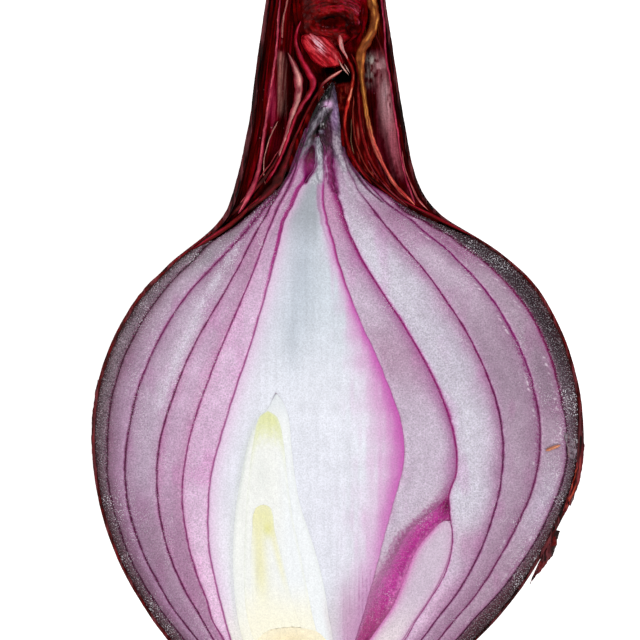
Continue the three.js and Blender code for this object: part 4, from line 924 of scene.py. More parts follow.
def shell(name, outer, inner, left, right, cols, ring, top_z, top_c, material, slot_name, nodes=(), step=1.7,
          under_n=40, gap=0.22, deep_out=0.96, deep_in=0.96, under_c=None, inner_c=None, floor=None, rows=None,
          frill=0.0, wave=None, seed=1):
    """A scale: the body between two nested profiles, each half of an ellipse in section."""
    OL, OR = outer
    IL, IR = inner
    count = int(max(left[1] - left[0], right[1] - right[0]) / step) + 2
    s = np.linspace(0, 1, count)[:, None] if rows is None else rows[:, None]
    vl = left[0] + (left[1] - left[0]) * s
    vr = right[0] + (right[1] - right[0]) * s

    def inner_edges(v):
        lo, hi = IL(v), IR(v)
        shut = lo >= hi - 0.05
        mid = (lo + hi) / 2
        lo = np.where(shut, mid, np.maximum(lo - gap, OL(v) + gap + 0.3))
        hi = np.where(shut, mid, np.minimum(hi + gap, OR(v) - gap - 0.3))
        mid = (lo + hi) / 2
        return np.where(lo > hi, mid, lo), np.where(lo > hi, mid, hi)

    ol, orr = OL(vl) + gap, OR(vr) - gap
    il, ir = inner_edges(vl)[0], inner_edges(vr)[1]
    ul = columns(ol, il, cols)
    ur = columns(ir, orr, cols)
    vlb, vrb = np.broadcast_to(vl, ul.shape), np.broadcast_to(vr, ur.shape)
    th = np.linspace(math.pi, 0, ring)[None, :]
    k = (1 - np.cos(th)) / 2
    vi = vr * (1 - k) + vl * k
    lo, hi = inner_edges(vi)
    ui = (lo + hi) / 2 + (hi - lo) / 2 * np.cos(th)
    zi = -deep_in * (hi - lo) / 2 * np.sin(th) * UNIT
    if floor is not None:
        zi = np.maximum(zi, -DEEP + floor + 0.5)
    dol, dil = ul - OL(vl), IL(vl) - ul
    dor, dir_ = OR(vr) - ur, ur - IR(vr)
    zl, zr = top_z("L", ul, vlb, dol, dil), top_z("R", ur, vrb, dor, dir_)
    cl, cr = top_c("L", ul, vlb, dol, dil), top_c("R", ur, vrb, dor, dir_)
    ci = inner_c(ui, vi, zi) if inner_c else np.broadcast_to(rgb(168, 96, 146), ui.shape + (3,))
    U = np.concatenate([ul, ui[:, 1:-1], ur], 1)
    V = np.concatenate([vlb, vi[:, 1:-1], vrb], 1)
    Z = np.concatenate([zl, zi[:, 1:-1], zr], 1)
    C = np.concatenate([cl, ci[:, 1:-1], cr], 1)
    tu = np.linspace(math.pi, 0, under_n)[None, :]
    ku = (1 - np.cos(tu)) / 2
    vu = vr * (1 - ku) + vl * ku
    a, b = OL(vu) + gap, OR(vu) - gap
    w, c = (b - a) / 2, (a + b) / 2
    swell = wave(tu, vu) if wave else 0.0
    uu = c + (w + swell / UNIT) * np.cos(tu)
    zu = -(deep_out * w * UNIT + swell) * np.sin(tu)
    if floor is not None:
        soft = 0.5
        zu = -DEEP + floor + soft * np.logaddexp(0, (zu + DEEP - floor) / soft)
    if frill:
        # the neck end is ragged
        def ragged(a):
            return frill * (noise(a * 5.0, 0.0, seed) + 0.6 * noise(a * 17.0, 0.0, seed + 1) + 0.3 * noise(a * 46.0, 0.0, seed + 2))

        ramp = smooth(0.10, 0.0, s)
        V = V + ragged(np.concatenate([np.full(cols, math.pi), th[0, 1:-1], np.zeros(cols)]))[None, :] * ramp
        vu = vu + ragged(tu[0])[None, :] * ramp
    cu = under_c(tu, vu, zu) if under_c else np.broadcast_to(rgb(150, 70, 120), uu.shape + (3,))
    points, faces = ringed((U, V, Z), (uu, vu, zu))
    colours = np.concatenate([C.reshape(-1, 3), cu[:, 1:-1].reshape(-1, 3)])
    glisten = np.concatenate([wet_glint_mask(U, V).ravel(), np.full(uu[:, 1:-1].size, 0.35)])
    W = np.maximum(np.abs(w).max(), 1) * UNIT
    lay_t = np.stack(np.broadcast_arrays((U - U0) * UNIT, V * UNIT, Z), -1).reshape(-1, 3)
    lay_u = np.stack(np.broadcast_arrays(tu * W + 200.0, vu * UNIT, 0.0), -1)[:, 1:-1].reshape(-1, 3)
    return build(name, points, faces, colours, material, nodes, lay=np.concatenate([lay_t, lay_u]), glisten=glisten)


def plan(name, left, right, rows, cols, top_z, top_c, material, nodes=(), under_n=28, gap=0.22, f=0.96,
         under_c=None, edge=True, under_extra=0.0, knots=None):
    """A body with a plain or sculpted upper side between two profiles, and half an ellipse under it."""
    v = np.asarray(rows, float)[:, None]
    a, b = left(v) + gap, right(v) - gap
    b = np.maximum(b, a + 0.05)
    if knots is None:
        u = columns(a, b, cols) if edge else a + (b - a) * np.linspace(0, 1, cols)[None, :]
    else:
        u = knots(v, a, b)
    vb = np.broadcast_to(v, u.shape)
    z = top_z(u, vb)
    c = top_c(u, vb)
    t = np.linspace(math.pi, 0, under_n)[None, :]
    w, m = (b - a) / 2, (a + b) / 2
    uu = m + w * np.cos(t)
    zu = -(f * w * UNIT + under_extra) * np.sin(t)
    vu = np.broadcast_to(v, uu.shape)
    cu = under_c(t, vu, zu) if under_c else c[:, :: max(1, c.shape[1] // under_n)][:, :under_n]
    if cu.shape[1] != under_n:
        cu = np.repeat(c[:, c.shape[1] // 2][:, None], under_n, 1)
    points, faces = ringed((u, vb, z), (uu, vu, zu))
    colours = np.concatenate([c.reshape(-1, 3), cu[:, 1:-1].reshape(-1, 3)])
    lay = np.stack(np.broadcast_arrays((u - U0) * UNIT, vb * UNIT, z), -1).reshape(-1, 3)
    lay_u = np.stack(np.broadcast_arrays(t * 6 + 200.0, vu * UNIT, 0.0), -1)[:, 1:-1].reshape(-1, 3)
    return build(name, points, faces, colours, material, nodes, lay=np.concatenate([lay, lay_u]))


def strand(name, path, width, lift, thick, colour, material, seed=1, sides=14, step=0.8, lean=0.0, nodes=(), taper=6.0):
    """A dried leaf edge that runs down the neck: path [(v, u)], width and lift along v, colour(v, across)."""
    f = curve(path)
    v = np.arange(path[0][0], path[-1][0] + step / 2, step)
    u = f(v) + 0.25 * noise(v / 5.0, 0.0, seed)
    du = np.gradient(u, v)
    size = np.sqrt(1 + du * du)
    tu, tv = du / size, 1 / size
    nu, nv = tv, -tu  # to the right of the path
    wide = np.interp(v, [p[0] for p in width], [p[1] for p in width]) * (1 + 0.16 * noise(v / 6.0, 0.0, seed + 1))
    ends = np.sqrt(np.clip(np.minimum(v - v[0], v[-1] - v) / taper, 0.02, 1))
    wide = wide * ends / 2
    z = np.interp(v, [p[0] for p in lift], [p[1] for p in lift]) + 0.10 * noise(v / 8.0, 0.0, seed + 2)
    ph = np.linspace(0, 2 * math.pi, sides, endpoint=False)[None, :]
    across, up = np.cos(ph), np.sin(ph)
    rough = 1 + 0.11 * noise(np.broadcast_to(ph * 2.2, (len(v), sides)), (v / 9.0)[:, None], seed + 3)
    rough = rough + 0.08 * noise(np.broadcast_to(ph * 3.1, (len(v), sides)), (v / 2.4)[:, None], seed + 5)
    off = across * wide[:, None] * rough
    U = u[:, None] + off * nu[:, None]
    V = v[:, None] + off * nv[:, None]
    Z = z[:, None] + (up * thick * ends[:, None] + lean * across * wide[:, None] * UNIT) * rough
    C = colour(v[:, None] + 0 * ph, across + 0 * v[:, None])
    fib = noise(np.broadcast_to(ph * 2.6, (len(v), sides)), (v / 16.0)[:, None], seed + 4)
    fine = noise(np.broadcast_to(ph * 4.6, (len(v), sides)), (v / 4.5)[:, None], seed + 6)
    C = C * (1 + 0.24 * fib[..., None] + 0.22 * fine[..., None])
    points = place(U, V, Z).reshape(-1, 3)
    n = len(v)
    idx = np.arange(n * sides).reshape(n, sides)
    nxt = np.roll(idx, -1, 1)
    faces = np.stack([idx[:-1], nxt[:-1], nxt[1:], idx[1:]], -1).reshape(-1, 4).tolist()
    faces += [idx[0][::-1].tolist(), idx[-1].tolist()]
    lay = np.stack(np.broadcast_arrays(ph * 1.2, v[:, None] * UNIT, 0.0), -1)
    return build(name, points, faces, C, material, nodes, lay=lay, sharp=60)


def tube(path, radius, sides=8):
    """Points and faces of a thin tapering root along mm points in the frame."""
    p = np.asarray(path, float)
    t = np.gradient(p, axis=0)
    t /= np.linalg.norm(t, axis=1)[:, None] + 1e-12
    ref = np.array([0.3, 0.2, 1.0])
    a = np.cross(t, ref)
    a /= np.linalg.norm(a, axis=1)[:, None] + 1e-12
    b = np.cross(t, a)
    ph = np.linspace(0, 2 * math.pi, sides, endpoint=False)
    r = np.asarray(radius)[:, None, None]
    pts = p[:, None, :] + r * (np.cos(ph)[None, :, None] * a[:, None, :] + np.sin(ph)[None, :, None] * b[:, None, :])
    n = len(p)
    idx = np.arange(n * sides).reshape(n, sides)
    nxt = np.roll(idx, -1, 1)
    faces = np.stack([idx[:-1], nxt[:-1], nxt[1:], idx[1:]], -1).reshape(-1, 4).tolist()
    faces += [idx[0][::-1].tolist(), idx[-1].tolist()]
    return pts.reshape(-1, 3), faces


# ---- materials -------------------------------------------------------------------------
def shader(name, rough=(0.35, 0.6), spec=0.4, grain=0.10, grain_scale=5200.0, sparkle=0.0, sparkle_at=0.90, bump_h=0.00005,
           coat=0.0, fibre=None, cell=0.0, veins=0.0):
    """Procedural surface: the point colour 'tint', then grain, cells, painted moist sparkle highlights, fibres,
    roughness and bump.
    """
    mat = bpy.data.materials.new(name)
    mat.use_nodes = True
    nt = mat.node_tree
    nodes, links = nt.nodes, nt.links
    p = nodes["Principled BSDF"]
    p.inputs["Specular IOR Level"].default_value = spec
    p.inputs["Coat Weight"].default_value = coat
    p.inputs["Coat Roughness"].default_value = 0.22
    tint = nodes.new("ShaderNodeAttribute")
    tint.attribute_name = "tint"
    where = nodes.new("ShaderNodeTexCoord")
    colour = tint.outputs["Color"]

    def tex_noise(scale, detail=3.0, vector=None, rough_=0.55):
        n = nodes.new("ShaderNodeTexNoise")
        n.inputs["Scale"].default_value = scale
        n.inputs["Detail"].default_value = detail
        n.inputs["Roughness"].default_value = rough_
        links.new(vector or where.outputs["Object"], n.inputs["Vector"])
        return n.outputs["Fac"]

    def remap(x, a, b, c, d):
        m = nodes.new("ShaderNodeMapRange")
        for i, q in enumerate((a, b, c, d)):
            m.inputs[i + 1].default_value = q
        links.new(x, m.inputs[0])
        return m.outputs[0]

    def math_(op, x, y):
        m = nodes.new("ShaderNodeMath")
        m.operation = op
        for i, q in enumerate((x, y)):
            if isinstance(q, float):
                m.inputs[i].default_value = q
            else:
                links.new(q, m.inputs[i])
        return m.outputs[0]

    def scaled(col, k):
        m = nodes.new("ShaderNodeVectorMath")
        m.operation = "SCALE"
        links.new(col, m.inputs[0])
        links.new(k, m.inputs["Scale"])
        return m.outputs[0]

    def blend(col, other, k):
        m = nodes.new("ShaderNodeMix")
        m.data_type = "RGBA"
        links.new(k, m.inputs[0])
        links.new(col, m.inputs[6])
        m.inputs[7].default_value = (*other, 1.0)
        return m.outputs[2]

    fine = tex_noise(grain_scale, 2.0)
    coarse = tex_noise(grain_scale * 0.33, 2.0)
    both = math_("ADD", math_("MULTIPLY", fine, 0.82), math_("MULTIPLY", coarse, 0.18))
    colour = scaled(colour, remap(both, 0.3, 0.7, 1.0 - grain, 1.0 + grain))
    height = both
    if cell:
        vor = nodes.new("ShaderNodeTexVoronoi")
        vor.inputs["Scale"].default_value = grain_scale * 0.62
        links.new(where.outputs["Object"], vor.inputs["Vector"])
        c_h = vor.outputs["Distance"]
        colour = scaled(colour, remap(c_h, 0.1, 0.8, 1.0 - cell, 1.0 + cell))
        height = math_("ADD", height, math_("MULTIPLY", c_h, 0.7))
    if fibre or veins:
        lay = nodes.new("ShaderNodeAttribute")
        lay.attribute_name = "lay"
        stretch = nodes.new("ShaderNodeVectorMath")
        stretch.operation = "MULTIPLY"
        stretch.inputs[1].default_value = (1.0, 0.05, 1.0)
        links.new(lay.outputs["Vector"], stretch.inputs[0])
        if fibre:
            fn = tex_noise(fibre[0], 4.0, stretch.outputs[0], 0.6)
            colour = scaled(colour, remap(fn, 0.3, 0.7, 1.0 - fibre[1], 1.0 + fibre[1]))
            height = math_("ADD", height, math_("MULTIPLY", fn, fibre[2]))
        if veins:
            vn = tex_noise(0.55, 3.0, stretch.outputs[0], 0.6)
            ridge = math_("SUBTRACT", 1.0, math_("ABSOLUTE", math_("MULTIPLY", math_("SUBTRACT", vn, 0.5), 14.0), 0.0))
            ridge = remap(ridge, 0.0, 1.0, 0.0, 1.0)
            colour = blend(colour, (0.30, 0.06, 0.075), math_("MULTIPLY", ridge, veins))
            height = math_("ADD", height, math_("MULTIPLY", ridge, 2.0))
    if sparkle:
        # painted sparkle highlights: the base colour turns pale at scattered specks, scaled by the point's glint amount
        chosen = remap(tex_noise(grain_scale * 1.15, 1.0), sparkle_at, sparkle_at + 0.05, 0.0, 1.0)
        colour = blend(colour, (0.84, 0.80, 0.86), math_("MULTIPLY", math_("MULTIPLY", chosen, tint.outputs["Alpha"]), sparkle))
    links.new(colour, p.inputs["Base Color"])
    links.new(remap(coarse, 0.3, 0.7, rough[0], rough[1]), p.inputs["Roughness"])
    b = nodes.new("ShaderNodeBump")
    b.inputs["Strength"].default_value = 1.0
    b.inputs["Distance"].default_value = bump_h
    links.new(height, b.inputs["Height"])
    links.new(b.outputs[0], p.inputs["Normal"])
    return mat


FLESH_MAT = shader("flesh", rough=(0.34, 0.62), spec=0.28, grain=0.25, cell=0.16, sparkle=0.95, sparkle_at=0.60)
OUTER_MAT = shader("dark_flesh", rough=(0.32, 0.6), spec=0.22, grain=0.62, cell=0.42, sparkle=1.6, sparkle_at=0.59, bump_h=0.00006)
HEART_MAT = shader("heart", rough=(0.36, 0.62), spec=0.3, grain=0.13, cell=0.08, sparkle=0.5, sparkle_at=0.64)
SHOOT_MAT = shader("shoot", rough=(0.38, 0.65), spec=0.25, grain=0.07, cell=0.04, sparkle=0.4, sparkle_at=0.66)
BUD_MAT = shader("bulblet", rough=(0.34, 0.6), spec=0.3, grain=0.18, cell=0.10, sparkle=0.3, sparkle_at=0.66)
SKIN_MAT = shader("papery_skin", rough=(0.34, 0.6), spec=0.12, grain=0.16, grain_scale=1600.0, bump_h=0.00012, coat=0.0,
                  fibre=(1.7, 0.22, 0.9), veins=0.45)
SHEATH_MAT = shader("dry_sheath", rough=(0.45, 0.7), spec=0.0, grain=0.26, grain_scale=4200.0, bump_h=0.00008,
                    fibre=(5.0, 0.26, 1.0))
LEAF_MAT = shader("dry_leaf", rough=(0.30, 0.55), spec=0.10, grain=0.26, grain_scale=4200.0, bump_h=0.00008,
                  fibre=(4.2, 0.26, 1.0))
PLATE_MAT = shader("plate", rough=(0.45, 0.75), spec=0.25, grain=0.08, cell=0.05, sparkle=0.2, sparkle_at=0.97)
ROOT_MAT = shader("dry_root", rough=(0.6, 0.85), spec=0.15, grain=0.22, grain_scale=2600.0, bump_h=0.0001)


# ---- tunic -------------------------------------------------------------------------------
def tunic_wave(t, v):
    """Veins, soft dents and creases of the papery skin, in mm outwards."""
    a = t * 57.3
    vein = np.maximum(0, 1 - np.abs(noise(a / 5.2 + 0.4 * noise(v / 60.0, a / 20.0, 301), v / 260.0, 302)) * 5)
    soft = fbm(a / 24.0, v / 70.0, 303, 3)
    crease = np.maximum(0, 1 - np.abs(noise(a / 17.0, v / 42.0, 305)) * 9) * smooth(0.0, 0.5, noise(a / 30.0, v / 50.0, 306))
    neck = smooth(250, 190, v)
    pleat = noise(a / 7.0, v / 120.0, 307) * neck
    base = smooth(640, 700, v)
    edge = np.minimum(smooth(0, 7, a), smooth(180, 173, a))
    return (0.10 * vein + 0.16 * soft + 0.12 * crease + 0.34 * pleat + 0.15 * base * noise(a / 6.0, v / 30.0, 308) - 0.30 * neck - 0.12) * edge


def tunic_colour(t, v, z):
    a = t * 57.3
    a, v = np.broadcast_arrays(a, v)
    n = fbm(a / 14.0, v / 60.0, 311, 4)
    c = mix(np.broadcast_to(rgb(84, 20, 38), a.shape + (3,)), rgb(128, 40, 58), smooth(-0.4, 0.5, n))
    c = mix(c, rgb(52, 8, 20), 0.6 * smooth(0.1, 0.6, fbm(a / 9.0, v / 90.0, 313, 3)))
    vein = np.maximum(0, 1 - np.abs(noise(a / 5.2 + 0.4 * noise(v / 60.0, a / 20.0, 301), v / 260.0, 302)) * 5)
    c = mix(c, rgb(60, 8, 22), 0.75 * vein)
    neck = smooth(262, 170, v + 14 * n)
    c = mix(c, mix(np.broadcast_to(rgb(52, 6, 14), c.shape), rgb(104, 36, 38), smooth(-0.3, 0.5, noise(a / 2.6, v / 90.0, 315))), 0.85 * neck)
    base = smooth(600, 712, v + 22 * n)
    c = mix(c, mix(np.broadcast_to(rgb(150, 96, 66), c.shape), rgb(188, 140, 96), smooth(-0.3, 0.5, noise(a / 3.0, v / 60.0, 317))), 0.85 * base)
    patch = smooth(0.30, 0.42, fbm(a / 22.0, v / 52.0, 319, 3))
    c = mix(c, rgb(146, 70, 74), 0.55 * patch * (1 - neck))
    c = mix(c, rgb(36, 2, 6), 0.75 * smooth(20, 4, np.minimum(a, 180 - a)) * smooth(236, 200, v))
    bottom = smooth(25, 60, np.minimum(a, 180 - a))
    return mix(c, c * 0.94, bottom)


def tunic_rim(side, u, v, do, di):
    wide = np.maximum(do + di, 0.5)
    t = np.clip(do / wide, 0, 1)
    n = fbm(v / 5.0, t * 2.0 + (side == "R") * 9, 321, 3)
    c = mix(np.broadcast_to(rgb(56, 6, 14), u.shape + (3,)), rgb(104, 16, 28), smooth(-0.3, 0.5, n))
    c = mix(c, rgb(130, 16, 33), 0.6 * (side == "L") * smooth(300, 270, v) * smooth(-0.4, 0.3, n))
    if side == "R":
        c = mix(c, mix(np.broadcast_to(rgb(32, 4, 8), c.shape), rgb(78, 12, 18), smooth(-0.1, 0.6, n)), 0.9 * smooth(400, 440, v))
        c = mix(c, mix(np.broadcast_to(rgb(58, 4, 15), c.shape), rgb(106, 12, 30), smooth(-0.4, 0.4, n)), 0.9 * smooth(240, 280, v) * smooth(440, 400, v))
        low = smooth(440, 462, v) * smooth(520, 500, v) * smooth(0.75, 0.3, t)
        c = mix(c, mix(np.broadcast_to(rgb(112, 20, 20), c.shape), rgb(190, 84, 62), smooth(-0.1, 0.6, n + 0.6 * np.sin(t * 9 + v / 21.0))), 0.85 * low)
    c = mix(c, rgb(36, 6, 12), 0.8 * smooth(0.82, 1.0, t))
    # painted highlight: a lighter red streak a quarter of the way in from the outside
    c = mix(c, rgb(126, 26, 42), 0.35 * np.exp(-((t - 0.25) / 0.18) ** 2) * smooth(-0.1, 0.5, noise(v / 9.0, 3.0, 323)))
    neck = smooth(232, 205, v)
    return mix(c, neck_colour(u, v), neck)


def rim_height(side, u, v, do, di):
    t = np.clip(do / np.maximum(do + di, 0.5), 0, 1)
    return -0.16 * np.sin(t * math.pi) * (0.5 + 0.5 * noise(v / 6.0, 0.0, 331)) - 0.25 * smooth(0.55, 1.0, t) - 0.10 * (t < 0.1)


OUT_L0, OUT_R0 = OUT_L, OUT_R


def OUT_Lr(v):
    """Left edge of the tunic, with the small ragged bumps where it has cracked."""
    v = np.asarray(v, float)
    rag = 0.35 * noise(v / 3.0, 0.0, 341) + 0.3 * noise(v / 9.0, 0.0, 342)
    torn = 2.4 * bump(v, 0, 284, 0, 7, 1) + 1.0 * bump(v, 0, 296, 0, 3, 1)
    return OUT_L0(v) + 0.35 - 0.35 * rag - torn * (0.4 + 0.6 * np.abs(noise(v / 2.2, 0.0, 343)))


def OUT_Rr(v):
    v = np.asarray(v, float)
    rag = 0.35 * noise(v / 3.0, 0.0, 345) + 0.3 * noise(v / 9.0, 0.0, 346)
    torn = 1.6 * bump(v, 0, 505, 0, 6, 1) + 1.2 * bump(v, 0, 482, 0, 4, 1) + 0.9 * bump(v, 0, 448, 0, 5, 1)
    return OUT_R0(v) - 0.35 + 0.35 * rag + torn * (0.4 + 0.6 * np.abs(noise(v / 2.2, 0.0, 347)))


def rim_in_L(v):
    return np.minimum(OUT_L0(v) + RIM_L(v), np.where(np.asarray(v) > 715, PLATE_L(v) - 0.5, 1e9))


def rim_in_R(v):
    return np.maximum(OUT_R0(v) - RIM_R(v), np.where(np.asarray(v) > 715, PLATE_R(v) + 0.5, -1e9))


shell("tunic", (OUT_Lr, OUT_Rr), (rim_in_L, rim_in_R), (-74, 724), (-74, 718), 24, 60, rim_height, tunic_rim, SKIN_MAT,
      "papery_skin", ("outer_skin",), step=1.9, under_n=150, gap=0.0, under_c=tunic_colour, floor=0.0, wave=tunic_wave,
      inner_c=lambda u, v, z: mix(np.broadcast_to(rgb(150, 84, 84), u.shape + (3,)), rgb(76, 16, 26), smooth(300, 240, v) + 0 * u), frill=5.0, seed=351)


# ---- scales ------------------------------------------------------------------------------
def flesh_top(k):
    def z(side, u, v, do, di):
        level = (0.0, 0.0, -0.03, 0.02, -0.02, 0.03)[k]
        z = level + relief(do, 0.12, 0.9) + relief(di, 0.10, 0.9)
        z = z + 0.05 * fbm(u / 10.0, v / 22.0, 400 + k, 3) + 0.03 * fbm(u / 2.5, v / 2.5, 410 + k, 2)
        if k == 5 and side == "R":
            z = z + scale5_right_height(u, v)
        if k == 1:
            z = z - 0.12 * smooth(4, 0, do)
        if k >= 3:
            z = z + cone_z(u, v)
        return np.minimum(z, 0.12)
    return z


def flesh_tint(k):
    def c(side, u, v, do, di):
        if k == 5 and side == "R":
            c = scale5_right(u, v)
        else:
            c = scale_colour(k, side, u, v, do, di)
            if k == 1:
                c = c * 0.93
            if side == "L" and k < 5:
                c = c * (1 - 0.055 * smooth(470, 540, v))[..., None]
            if side == "L" and k == 3:
                # a pale band of granular flesh, brightened with a painted moist highlight
                band = streak(u, v, [(240, 239), (260, 229), (280, 216), (300, 204), (340, 186), (380, 168), (410, 158)], 8.0)
                c = mix(c, rgb(206, 197, 212), np.clip(0.5 * band * (1 + 0.8 * fbm(u / 3.0, v / 5.0, 437, 2)), 0, 0.8))
            if side == "L" and k == 5:
                c = mix(c, rgb(222, 184, 214), 0.55 * smooth(545, 590, v) * smooth(640, 610, v))
        if not (k == 5 and side == "R"):
            c = line(c, di, k, side=side, v=v)
        else:
            c = line(c, di, 5, 1.0, 0.25)
        if k > 1:
            c = line(c, do, k - 1, side=side, v=v) if not (k == 5 and side == "R") else line(c, do, 4, 1.0, 0.9)
        if k >= 3:
            c = cone(u, v, c)
        # wet glints in a broken row beside the skins
        if side == "R" and k in (1, 2, 3, 4):
            dash = smooth(0.1, 0.5, noise(v / 1.3, k * 5.0 + u / 1.6, 421)) * smooth(190, 215, v) * smooth(660, 480, v)
            k_ = (0, 0.25, 0.75, 0.75, 0.7)[k]
            far = (0, 3.0, 6.5, 4.6, 5.6)[k]
            long = smooth(0.0, 0.4, noise(v / 9.0, k * 7.0, 429))
            c = mix(c, rgb(234, 220, 232), k_ * dash * long * np.exp(-(((do - far) / 0.8) ** 2)))
            if k == 3:
                spots = smooth(0.15, 0.5, noise(v / 1.1, u / 1.1, 435)) * smooth(300, 320, v) * smooth(480, 450, v)
                c = mix(c, rgb(120, 24, 92), 0.75 * spots * np.exp(-(((do - 2.8) / 1.5) ** 2)))
            dash2 = smooth(0.15, 0.5, noise(v / 1.2, k * 9.0 + u / 1.5, 423)) * smooth(190, 230, v) * smooth(560, 420, v)
            c = mix(c, rgb(222, 206, 222), 0.35 * dash2 * np.exp(-(((di - 2.4) / 0.7) ** 2)))
        # towards the neck the tips dry out
        dry = smooth(196, 168, v + 4 * fbm(u / 4.0, v / 4.0, 425, 2)) * (0.45 if k == 3 else 0.0) + smooth(236, 200, v) * (0.5 if k == 1 else 0.0)
        c = mix(c, rgb(226, 200, 156), 0.85 * smooth(672, 706, v))
        return mix(c, mix(c * 0.55, rgb(96, 60, 78), 0.4), np.clip(dry, 0, 1))
    return c


def flesh_under(t, v, z):
    """Skin on the outside of a scale: purple, nearly black where the tip has dried."""
    n = noise(t * 20.0, v / 30.0, 427)
    t, v = np.broadcast_arrays(t, v)
    c = mix(np.broadcast_to(rgb(134, 58, 106), v.shape + (3,)), rgb(170, 92, 142), smooth(-0.4, 0.6, n))
    c = mix(c, mix(np.broadcast_to(rgb(176, 130, 88), c.shape), rgb(206, 170, 124), smooth(-0.4, 0.6, n)), smooth(655, 690, v))
    return mix(c, rgb(26, 8, 12), 0.95 * smooth(215, 150, v))


edge0 = (outer1_L, outer1_R)
pairs = [edge0, (L1, R1), (L2, R2), (L3, R3), (L4, R4), (L5, R5)]
limbs = {1: ((190, 727), (190, 722)), 2: ((171, 711), (179, 718)), 3: ((128, 704), (147, 711)), 4: ((82, 692), (82, 704)),
         5: ((107, 684), (107, 697))}
for k in (1, 2, 3, 4):
    lo, ro = pairs[k - 1]
    if k < 4:
        lo, ro = held_L(lo), held_R(ro)
    inner = (inner_L(pairs[k][0]), inner_R(pairs[k][1]))
    if k == 4:
        inner = (lambda v, f=L4: np.where(np.asarray(v) < 107, (L3(v) + R3(v)) / 2, np.minimum(f(v), np.where(np.asarray(v) > 640, PLATE_L(v) - 0.3, 1e9))),
                 lambda v, f=R4: np.where(np.asarray(v) < 107, (L3(v) + R3(v)) / 2, np.maximum(f(v), np.where(np.asarray(v) > 640, PLATE_R(v) + 0.3, -1e9))))
    shell("scale_%d_flesh" % k, (lo, ro), inner, limbs[k][0], limbs[k][1], 40, 22, flesh_top(k), flesh_tint(k),
          OUTER_MAT if k == 1 else FLESH_MAT, "scale_dark" if k == 1 else "scale_flesh", ("scale_%d" % k,), step=1.6, gap=0.08,
          under_n=44, floor=0.75 if k == 1 else None, under_c=flesh_under)


def five(name):
    """Scale 5: plain on the left, with the furrow and the bulblet's nest on the right."""
    gap = 0.08
    v = np.concatenate([np.arange(107, 300, 1.7), np.arange(300, 690, 1.35), [690.0]])[:, None]
    ol, il = L4(v) + gap, np.minimum(L5(v), np.where(v > 640, PLATE_L(v) - 0.3, 1e9)) - gap
    ir, orr = np.maximum(R5(v), np.where(v > 640, PLATE_R(v) + 0.3, -1e9)) + gap, R4(v) - gap
    mid = (L4(v) + R4(v)) / 2
    closed = v < 137
    il = np.where(closed, mid, np.maximum(il, ol + 0.5))
    ir = np.where(closed, mid, np.minimum(ir, orr - 0.5))
    ul = columns(ol, il, 40)
    k1 = np.clip(np.where(v < 484, orr - 0.7, np.minimum(R4S(v), orr - 0.7)), ir + 0.25, None)
    k2 = np.clip(np.where(v < 521, orr - 0.35, np.minimum(BUD_L(v), orr - 0.35)), k1 + 0.1, None)
    parts = [ir + (k1 - ir) * (0.5 - 0.5 * np.cos(np.linspace(0, math.pi, 36))) , k1 + (k2 - k1) * np.linspace(0, 1, 22)[1:],
             k2 + (orr - k2) * np.linspace(0, 1, 16)[1:]]
    ur = np.concatenate(parts, 1)
    vb_l, vb_r = np.broadcast_to(v, ul.shape), np.broadcast_to(v, ur.shape)
    th = np.linspace(math.pi, 0, 24)[None, :]
    ui = (il + ir) / 2 + (ir - il) / 2 * np.cos(th)
    zi = -0.96 * (ir - il) / 2 * np.sin(th) * UNIT
    top, tint = flesh_top(5), flesh_tint(5)
    zl = top("L", ul, vb_l, ul - L4(vb_l), L5(vb_l) - ul)
    zr = top("R", ur, vb_r, R4(vb_r) - ur, ur - R5(vb_r))
    cl = tint("L", ul, vb_l, ul - L4(vb_l), L5(vb_l) - ul)
    cr = tint("R", ur, vb_r, R4(vb_r) - ur, ur - R5(vb_r))
    U = np.concatenate([ul, ui[:, 1:-1], ur], 1)
    V = np.broadcast_to(v, U.shape)
    Z = np.concatenate([zl, zi[:, 1:-1], zr], 1)
    C = np.concatenate([cl, np.broadcast_to(rgb(190, 120, 172), ui[:, 1:-1].shape + (3,)), cr], 1)
    tu = np.linspace(math.pi, 0, 44)[None, :]
    w, c = (orr - ol) / 2, (orr + ol) / 2
    uu, vu, zu = c + w * np.cos(tu), np.broadcast_to(v, (len(v), 44)), -0.96 * w * UNIT * np.sin(tu)
    points, faces = ringed((U, V, Z), (uu, vu, zu))
    below = mix(np.broadcast_to(rgb(170, 90, 144), (len(v), 42, 3)), rgb(84, 68, 84), smooth(165, 145, v) + np.zeros((1, 42)))
    colours = np.concatenate([C.reshape(-1, 3), below.reshape(-1, 3)])
    glisten = np.concatenate([wet_glint_mask(U, V).ravel(), np.full(len(v) * 42, 0.35)])
    return build(name, points, faces, colours, FLESH_MAT, ("scale_5",), glisten=glisten)


five("scale_5_flesh")


def heart_z(side, u, v, do, di):
    z = 0.03 + relief(do, 0.10, 0.9) + 0.06 * fbm(u / 11.0, v / 30.0, 431, 3) + 0.03 * fbm(u / 2.6, v / 2.6, 433, 2)
    z = z + 0.03 * noise(u / 1.6, v / 50.0, 435) * smooth(470, 560, v)
    z = z + 0.05 * noise((u - R5(v)) / 1.7, v / 40.0, 155) * smooth(275, 225, v)
    z = z - 0.35 * bump(u, v, 276, 398, 3.5, 6) + cone_z(u, v)
    near = np.where(side == "L", SHEATH_L(v) - u, u - SHEATH_R(v))
    return np.minimum(z + relief(np.where(v > 396, near, 9.0), 0.03, 0.9), 0.13)


def heart_tint(side, u, v, do, di):
    c = heart(u, v)
    c = line(c, do, 5, 1.0, 0.9 if side == "L" else 0.25)
    return cone(u, v, c)


def wedge(f, other, v0, sign):
    """Profile that closes to the middle line above its tip."""
    def g(v):
        v = np.asarray(v, float)
        axis = (L5(v) + R5(v)) / 2
        axis = axis + (275.5 - axis) * smooth(200, 394, v)
        tip = np.where(v < v0, axis, f(v))
        return tip
    return g


